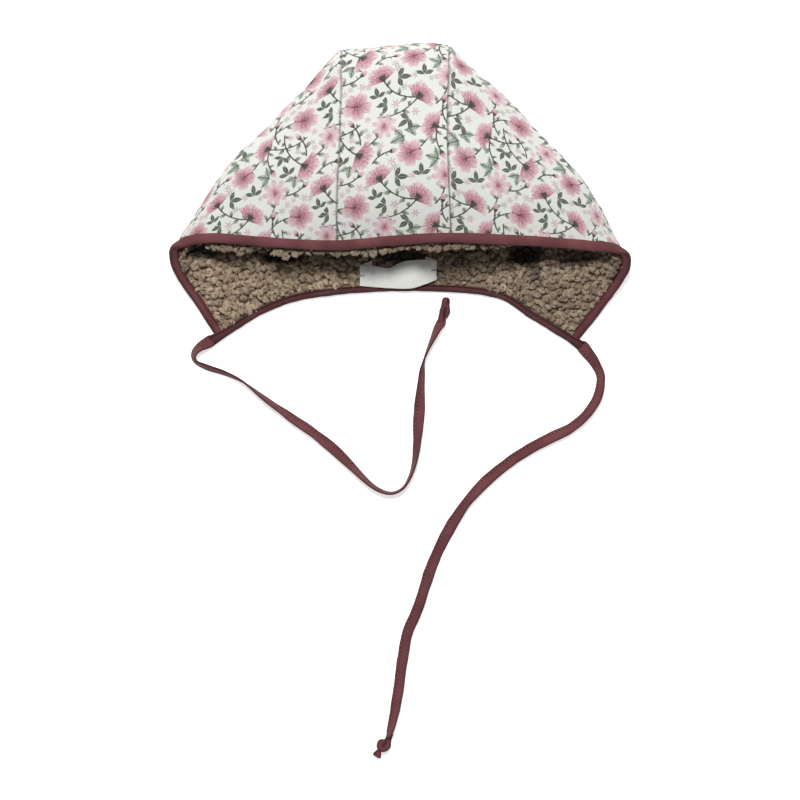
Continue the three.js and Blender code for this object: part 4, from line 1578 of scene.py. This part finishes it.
def curls_piece(name, centres, normals, sizes, sunk, shade, rng):
    """Many curls as one mesh, each turned and tilted by chance.

    A curl reaches sunk below its middle and no deeper. shade is painted shade that darkens it."""
    vertices, faces = curl_shape()
    count = len(centres)
    spin = rng.uniform(0, 2 * math.pi, count)
    tilt = rng.normal(0, 0.55, (count, 2))
    helper = np.where(np.abs(normals[:, :1]) < 0.8, np.array([[1.0, 0, 0]]), np.array([[0, 1.0, 0]]))
    aside = unit(np.cross(normals, helper))
    forth = unit(np.cross(helper, normals)[:, [1, 2, 0]])
    axis = unit(normals + tilt[:, :1] * aside + tilt[:, 1:] * forth)
    first = unit(np.cross(axis, helper))
    second = np.cross(axis, first)
    cos, sin = np.cos(spin)[:, None], np.sin(spin)[:, None]
    first, second = first * cos + second * sin, second * cos - first * sin
    squeeze = rng.uniform(0.72, 1.15, (count, 1, 1))
    shape = vertices[None] * sizes[:, None, None]
    placed_points = (
        centres[:, None]
        + shape[..., :1] * first[:, None]
        + shape[..., 1:2] * squeeze * second[:, None]
        + shape[..., 2:] * axis[:, None]
    )
    wobble = 0.2 * sizes[:, None] * ripple(placed_points, 2.6 * MM, 41)
    shift = 0.16 * sizes[:, None] * ripple(placed_points, 2.2 * MM, 42)
    placed_points = placed_points + wobble[..., None] * axis[:, None] + shift[..., None] * first[:, None]
    raised = np.sum((placed_points - centres[:, None]) * normals[:, None], axis=-1)
    held = np.maximum(raised, -sunk[:, None])
    placed_points = placed_points + (held - raised)[..., None] * normals[:, None]
    raised = np.clip(0.5 + 0.5 * held / sizes[:, None], 0, 1)
    tones = np.repeat(rng.random(count)[:, None], len(vertices), axis=1)
    all_faces = (faces[None] + (np.arange(count) * len(vertices))[:, None, None]).reshape(-1, 4)
    placed_points[..., 2] = np.maximum(placed_points[..., 2], CURL_CLEAR)
    piece = raw_mesh(name, placed_points.reshape(-1, 3), all_faces)
    painted_shade = np.maximum(painted_shade_at(placed_points), shade[:, None])
    colour_curls(piece, raised.ravel(), tones.ravel(), painted_shade.ravel())
    finish_mesh(piece, 180)
    return piece


def colour_curls(piece, raised, tones, painted_shade):
    """Gives each vertex its height in the pile, its curl's own tone and how much painted shade its place
    gets.
    """
    layer = piece.data.color_attributes.new("curl", "FLOAT_COLOR", "POINT")
    values = np.stack([raised, tones, painted_shade, np.ones_like(raised)], axis=-1)
    layer.data.foreach_set("color", values.ravel())


def fringe(side_range, rng, count):
    """Places for the curls that spill out past the face edge, in tufts that hang out from under its tape."""
    places = rng.uniform(side_range[0], side_range[1], count)
    lines = Meridians(FACE_EDGE, places)
    over_brow = smooth(*BROW_FROM, places) * smooth(*BROW_TO, places)
    ragged = np.clip(0.55 + 0.45 * ripple(lines.edge, 26 * MM, 71), 0, 1)
    # Past the edge, and less far where its tufts are ragged. Beside the brow it stays inside.
    reach = (12.4 * over_brow - 1.5 - 3.4 * ragged * over_brow) * MM
    out = rng.uniform(0.1, 1, count) ** 0.7 * reach
    share = np.clip(out / (8 * MM), 0, 1)
    hung = 1.9 - 2.6 * smooth(6.3 * MM, 9 * MM, out) + 1.3 * rng.uniform(0, 1, count)
    into = LINING_FROM + PILE_AT_EDGE + hung * MM
    centres = lines.edge + out[:, None] * lines.outward + into[:, None] * lines.inward
    return centres, unit(lines.inward + (0.9 * share * over_brow)[:, None] * lines.outward)


def under_label(points):
    """Which points the label lies on."""
    table = np.array(LABEL_EDGES) * MM
    low = np.interp(points[:, 0], table[:, 0], table[:, 1])
    high = np.interp(points[:, 0], table[:, 0], table[:, 3])
    middle = 0.5 * (table[0, 0] + table[-1, 0])
    beside = np.abs(points[:, 0] - middle) < 0.5 * LABEL_SIZE[0] - LABEL_RIM
    within = (points[:, 1] > low + LABEL_RIM) & (points[:, 1] < high - LABEL_RIM)
    return beside & within & (points[:, 2] < 14 * MM)


def lining_piece(name, grid, node, face_range, seed):
    """One lining panel: its backing, the curls on it and its part of the fringe."""
    settings = bpy.context.scene.bonnet_pile
    rng = np.random.default_rng(seed)
    sheet, size, area = lining_sheet(name + "_backing", grid)
    depth = pile_depth(grid.all_shares) - CURL_SINK + EDGE_RISE * smooth(0.95, 0.99, grid.all_shares)
    lift = fold_lift(grid.points(depth))
    surface = grid.points(depth + lift)
    deeper = grid.points(depth + lift + 0.5 * MM)
    shares = np.broadcast_to(grid.all_shares, surface.shape[:-1])
    tries = int(area / settings.gap ** 2 * TRIES_PER_CURL)
    centres, normals, reached = scattered(surface, deeper - surface, shares, tries, rng)
    within = reached < CURLS_END
    centres, normals, reached = centres[within], normals[within], reached[within]
    fringe_centres, fringe_normals = fringe(face_range, rng, FRINGE_TRIES)
    centres = np.concatenate([fringe_centres, centres])
    reached = np.concatenate([np.full(len(fringe_centres), 0.98), reached])
    normals = np.concatenate([fringe_normals, normals])
    kept = spaced_out(centres, settings.gap)
    kept = kept[~under_label(centres[kept])]
    # Curls are smaller where the lining has painted shade, most in the partings, and at the tape.
    sizes = settings.curl * rng.uniform(0.7, 1.2, len(kept)) * (1 - 0.35 * painted_shade_at(centres[kept]))
    sizes *= 0.84 + 0.16 * smooth(1.0, 0.955, reached[kept])
    sunk = np.full(len(kept), CURL_RISE - CURL_SINK + 0.4 * MM)
    # The fringe gets painted shade, more on the right.
    darker = 0.36 + 0.2 * smooth(40 * MM, 80 * MM, centres[kept, 0])
    shade = np.where(kept < len(fringe_centres), darker, 0.0)
    curls = curls_piece(name + "_curls", centres[kept], normals[kept], sizes, sunk, shade, rng)
    # The backing gets the same painted shade as the curls.
    corners = np.empty(len(sheet.data.vertices) * 3)
    sheet.data.vertices.foreach_get("co", corners)
    plain = np.full(len(sheet.data.vertices), 0.25)
    colour_curls(sheet, plain, plain + 0.2, painted_shade_at(corners.reshape(-1, 3)))
    dress(sheet, once(pile_cloth), "curly_pile", node)
    dress(curls, once(pile_cloth), "curly_pile", node)


# Label

LABEL_SIZE = (47.6 * MM, 16.4 * MM)
# Along the label, in mm: x, y and z of its lower edge and of its upper one. It is sewn down at both ends,
# gathered left of its middle and arched over the neck edge right of it.
LABEL_EDGES = [
    (-24.8, -56.6, 5.8, -44.0, 7.6),
    (-17.5, -57.3, 6.2, -44.1, 8.2),
    (-12.0, -57.7, 6.2, -45.0, 7.6),
    (-7.0, -58.1, 6.2, -45.6, 7.2),
    (-2.6, -58.3, 6.6, -43.6, 8.2),
    (2.6, -58.5, 7.3, -41.6, 9.4),
    (8.0, -58.1, 7.4, -40.9, 9.8),
    (13.2, -56.6, 7.0, -40.5, 9.2),
    (18.0, -54.8, 6.4, -40.4, 8.4),
    (22.6, -52.9, 5.8, -40.8, 7.6),
]
# The ends of its two layers stand up behind it: from x to x, and how far above the upper edge at each.
LABEL_FLAPS = {"left": (-24.7, -17.2, 0.2, 3.0), "right": (15.6, 22.4, 1.8, 0.2)}
LABEL_BACK = 0.7 * MM
LABEL_WALL = 0.45 * MM
LABEL_STITCH = 3.0 * MM
LABEL_TILT = 0.06
# Where the stitches at its ends lie, in mm.
STITCH_AT = {"left": LABEL_EDGES[0][0] + 1.6, "right": LABEL_EDGES[-1][0] - 1.8}
# Curls still stand under the label's rim, which is that broad.
LABEL_RIM = 0.8 * MM


def on_label(x, v, under=0.0):
    """The place of a point of the label at x, in mm, and at a share v from its lower to its upper edge."""
    table = np.array(LABEL_EDGES)
    row = splined(table, np.interp(x, table[:, 0], np.arange(len(table))))
    y = row[..., 1] + (row[..., 3] - row[..., 1]) * v
    z = row[..., 2] + (row[..., 4] - row[..., 2]) * v + 0.8 * np.sin(math.pi * np.clip(v, 0, 1))
    z = z + 0.12 * np.sin(0.9 * x + 3 * v)
    return np.stack([x * MM, y * MM, z * MM - under], axis=-1)


def label_sheet(name, from_x, to_x, rise, under, columns, rows):
    """A piece of the label's cloth from x to x. rise lifts its upper edge at each end, in mm."""
    share, v = np.meshgrid(np.linspace(0, 1, columns + 1), np.linspace(0, 1, rows + 1), indexing="ij")
    x = from_x + (to_x - from_x) * share
    points = on_label(x, v, under)
    lift = rise[0] + (rise[1] - rise[0]) * share
    points[..., 1] += MM * lift * v
    flat = np.stack([x * MM, v * LABEL_SIZE[1]], axis=-1)
    piece = grid_piece(name, points, flat)
    turn_outward(piece, Vector((0, 0, -1)))
    modify(piece, "SOLIDIFY", thickness=LABEL_WALL, offset=-1)
    modify(piece, "BEVEL", width=0.1 * MM, segments=2)
    finish_mesh(piece)
    return piece


def label_piece():
    """The label: its front, what shows of its back layer at each end, and one stitch at each end."""
    front = label_sheet("label_cloth", LABEL_EDGES[0][0], LABEL_EDGES[-1][0], (0, 0), 0, 64, 18)
    others = []
    for side, (from_x, to_x, *rise) in LABEL_FLAPS.items():
        others.append(label_sheet(f"label_fold_{side}", from_x, to_x, rise, LABEL_BACK, 12, 10))
    for piece in [front, *others]:
        dress(piece, once(label_cloth), "woven_label", "label")
    for side, x in STITCH_AT.items():
        deselect()
        bpy.ops.mesh.primitive_cylinder_add(vertices=10, radius=0.24 * MM, depth=LABEL_STITCH)
        thread = bpy.context.active_object
        thread.name = f"label_stitch_{side}"
        thread.location = on_label(np.array(x), np.array(0.5)) + np.array([0, 0, 0.2 * MM])
        thread.rotation_euler = (0, math.radians(90), LABEL_TILT if side == "right" else -LABEL_TILT)
        modify(thread, "BEVEL", width=0.12 * MM, segments=2)
        finish_mesh(thread)
        dress(thread, once(thread_cloth), "bias_tape", "label")
        others.append(thread)


# Stage

# Each light's name, place, size and watts. Both face LIT_MIDDLE.
LIGHTS = [
    ("Light over", (-0.12, 0.7, 1.8), 0.5, 34),
    ("Light front", (0.4, -1.1, 1.7), 1.0, 1.2),
]
LIT_MIDDLE = (0, -0.05, 0)
ROOM_COLOUR = (0.95, 0.97, 1.0, 1.0)
ROOM_LIGHT = 0.17
CAMERA_Y = -0.1271
SENSOR = 36


def aim(thing, target):
    """Turns a light towards a place."""
    thing.rotation_euler = (Vector(target) - thing.location).to_track_quat("-Z", "Y").to_euler()


def area_light(name, place, size, watts):
    """A round light that faces the bonnet."""
    bpy.ops.object.light_add(type="AREA", location=place)
    light = bpy.context.active_object
    light.name = name
    light.data.shape = "DISK"
    light.data.size = size
    light.data.energy = watts
    aim(light, LIT_MIDDLE)


# Settings

class BonnetCloth(bpy.types.PropertyGroup):
    dents: FloatProperty(
        name="Dents", description="How deep the cloth's soft dents are",
        default=0.7 * MM, unit="LENGTH", precision=5,
    )
    seam_roll: FloatProperty(
        name="Seam roll", description="Radius that the cloth rolls into a seam with",
        default=1.5 * MM, unit="LENGTH", precision=5,
    )


class BonnetTape(bpy.types.PropertyGroup):
    colour: FloatVectorProperty(
        name="Colour", description="The tape's colour",
        subtype="COLOR", default=srgb(104, 58, 60)[:3], min=0, max=1,
    )
    highlight: FloatVectorProperty(
        name="Highlight", description="The tape's colour where it is worn",
        subtype="COLOR", default=srgb(120, 71, 73)[:3], min=0, max=1,
    )
    stitch_pitch: FloatProperty(
        name="Stitch pitch", description="From one stitch to the next, in mm",
        default=2.5,
    )


class BonnetPile(bpy.types.PropertyGroup):
    gap: FloatProperty(
        name="Curl spacing", description="Least distance between curls",
        default=3.2 * MM, unit="LENGTH", precision=5,
    )
    curl: FloatProperty(
        name="Curl size", description="Radius of a curl",
        default=2.75 * MM, unit="LENGTH", precision=5,
    )
    colour: FloatVectorProperty(
        name="Colour", description="The pile's colour",
        subtype="COLOR", default=srgb(143, 119, 96)[:3], min=0, max=1,
    )
    tip_colour: FloatVectorProperty(
        name="Tip colour", description="The colour of the pile's tips",
        subtype="COLOR", default=srgb(204, 183, 156)[:3], min=0, max=1,
    )
    # The colour deep in the pile is painted shade.
    deep_shade_colour: FloatVectorProperty(
        name="Root colour", description="The colour deep in the pile",
        subtype="COLOR", default=srgb(88, 70, 55)[:3], min=0, max=1,
    )


class BonnetStage(bpy.types.PropertyGroup):
    floor: FloatVectorProperty(
        name="Floor", description="The floor's colour",
        subtype="COLOR", default=(0.96, 0.96, 0.96), min=0, max=1,
    )
    glow: FloatProperty(
        name="Floor's glow", description="How much light the floor gives off",
        default=0.6,
    )
    height: FloatProperty(
        name="Camera height", description="How high the camera is over the floor",
        default=1.6, unit="LENGTH",
    )
    view: FloatProperty(
        name="Width seen", description="How much of the floor the picture spans",
        default=0.496, unit="LENGTH",
    )


# Operators

class BONNET_OT_stage(bpy.types.Operator):
    """Lays the floor, hangs the lights and sets the camera over the bonnet"""
    bl_idname = "bonnet.stage"
    bl_label = "Stage"

    def execute(self, context):
        settings = context.scene.bonnet_stage
        deselect()
        bpy.ops.mesh.primitive_plane_add(size=6, location=(0, 0, 0))
        floor = context.active_object
        floor.name = "floor"
        material, g, shader = new_material("Pale floor")
        grain = g.noise(object_place(g), 3.0, detail=2.0)
        duller = tuple(0.985 * part for part in settings.floor)
        g.fill(
            shader, Base_Color=g.mix(g.step(grain, 0.2, 0.8), (*settings.floor, 1.0), (*duller, 1.0)),
            Roughness=0.9, Emission_Color=(1, 1, 1, 1), Emission_Strength=settings.glow,
        )
        floor.data.materials.append(material)
        for light in LIGHTS:
            area_light(*light)
        world = bpy.data.worlds.new("Soft room")
        context.scene.world = world
        world.use_nodes = True
        sky = world.node_tree.nodes["Background"]
        Graph(world.node_tree).fill(sky, Color=ROOM_COLOUR, Strength=ROOM_LIGHT)
        bpy.ops.object.camera_add(location=(0, CAMERA_Y, settings.height), rotation=(0, 0, 0))
        camera = context.active_object
        camera.name = "Camera"
        camera.data.sensor_width = SENSOR
        camera.data.lens = SENSOR * settings.height / settings.view
        camera.data.clip_start = 0.01
        context.scene.camera = camera
        context.scene.view_settings.view_transform = "Standard"
        return {"FINISHED"}


class BONNET_OT_ties(bpy.types.Operator):
    """Makes both ties with the knots at their ends"""
    bl_idname = "bonnet.ties"
    bl_label = "Ties"

    def execute(self, context):
        for side, route, heading, way in (
            ("left", TIE_LEFT_ROUTE, KNOT_HEADING_LEFT, KNOT_WAY_LEFT),
            ("right", TIE_RIGHT_ROUTE, KNOT_HEADING_RIGHT, KNOT_WAY_RIGHT),
        ):
            tie, path = tie_piece(f"tie_tape_{side}", route, f"tie_{side}")
            knot = knot_piece(f"knot_tape_{side}", route[-1], heading, way, f"tie_knot_{side}")
        return {"FINISHED"}


class BONNET_OT_panels(bpy.types.Operator):
    """Makes the three panels of printed cloth"""
    bl_idname = "bonnet.panels"
    bl_label = "Printed panels"

    def execute(self, context):
        size = {"rows": 96, "end": CLOTH_END}
        cloth_panel("cloth_centre", Strip(columns=44, **size), "centre_panel")
        cloth_panel("cloth_left", Side(-1, columns=84, **size), "side_panel_left")
        cloth_panel("cloth_right", Side(1, columns=84, **size), "side_panel_right")
        return {"FINISHED"}


class BONNET_OT_lining(bpy.types.Operator):
    """Makes the three panels of curly pile"""
    bl_idname = "bonnet.lining"
    bl_label = "Curly lining"

    def execute(self, context):
        size = {"rows": 70, "end": PILE_END}
        centre = Strip(columns=30, **size)
        left = Side(-1, columns=54, **size)
        right = Side(1, columns=54, **size)
        lining_piece("pile_centre", centre, "lining_centre", (SEAM_LEFT, SEAM_RIGHT), seed=51)
        lining_piece("pile_left", left, "lining_left", (FRINGE_FROM, SEAM_LEFT), seed=52)
        lining_piece("pile_right", right, "lining_right", (SEAM_RIGHT, FRINGE_TO), seed=53)
        return {"FINISHED"}


class BONNET_OT_bindings(bpy.types.Operator):
    """Binds the face edge and the neck edge with tape"""
    bl_idname = "bonnet.bindings"
    bl_label = "Bindings"

    def execute(self, context):
        ties = []
        for route in (TIE_RIGHT_ROUTE, TIE_LEFT_ROUTE):
            ties.append([part[0] for part in tie_frames(route, TIE_STEP)])
        binding_piece("face_tape", FACE_EDGE, 261, FACE_TAPE, "face_binding", seed=11)
        binding_piece("neck_tape", NECK_EDGE, 161, NECK_TAPE, "neck_binding", seed=15, ties=ties)
        return {"FINISHED"}


class BONNET_OT_label(bpy.types.Operator):
    """Sews the blank label inside the nape"""
    bl_idname = "bonnet.label"
    bl_label = "Label"

    def execute(self, context):
        label_piece()
        return {"FINISHED"}


class BONNET_PT_panel(bpy.types.Panel):
    """Lists the bonnet's pieces"""
    bl_label = "Bonnet"
    bl_idname = "BONNET_PT_panel"
    bl_space_type = "VIEW_3D"
    bl_region_type = "UI"
    bl_category = "Bonnet"

    def draw(self, context):
        for operator in OPERATORS:
            self.layout.operator(operator.bl_idname)
        for group in SETTINGS:
            for name in group.__annotations__:
                self.layout.prop(getattr(context.scene, SETTINGS[group]), name)


SETTINGS = {
    BonnetStage: "bonnet_stage",
    BonnetCloth: "bonnet_cloth",
    BonnetTape: "bonnet_tape",
    BonnetPile: "bonnet_pile",
}
OPERATORS = (
    BONNET_OT_stage,
    BONNET_OT_ties,
    BONNET_OT_panels,
    BONNET_OT_lining,
    BONNET_OT_bindings,
    BONNET_OT_label,
)


def register():
    for group, name in SETTINGS.items():
        bpy.utils.register_class(group)
        setattr(bpy.types.Scene, name, PointerProperty(type=group))
    for cls in (*OPERATORS, BONNET_PT_panel):
        bpy.utils.register_class(cls)


def unregister():
    for cls in reversed((*OPERATORS, BONNET_PT_panel)):
        bpy.utils.unregister_class(cls)
    for group, name in SETTINGS.items():
        delattr(bpy.types.Scene, name)
        bpy.utils.unregister_class(group)


def main():
    register()
    bpy.ops.bonnet.stage()
    bpy.ops.bonnet.ties()
    bpy.ops.bonnet.panels()
    bpy.ops.bonnet.lining()
    bpy.ops.bonnet.bindings()
    bpy.ops.bonnet.label()


if __name__ == "__main__":
    main()
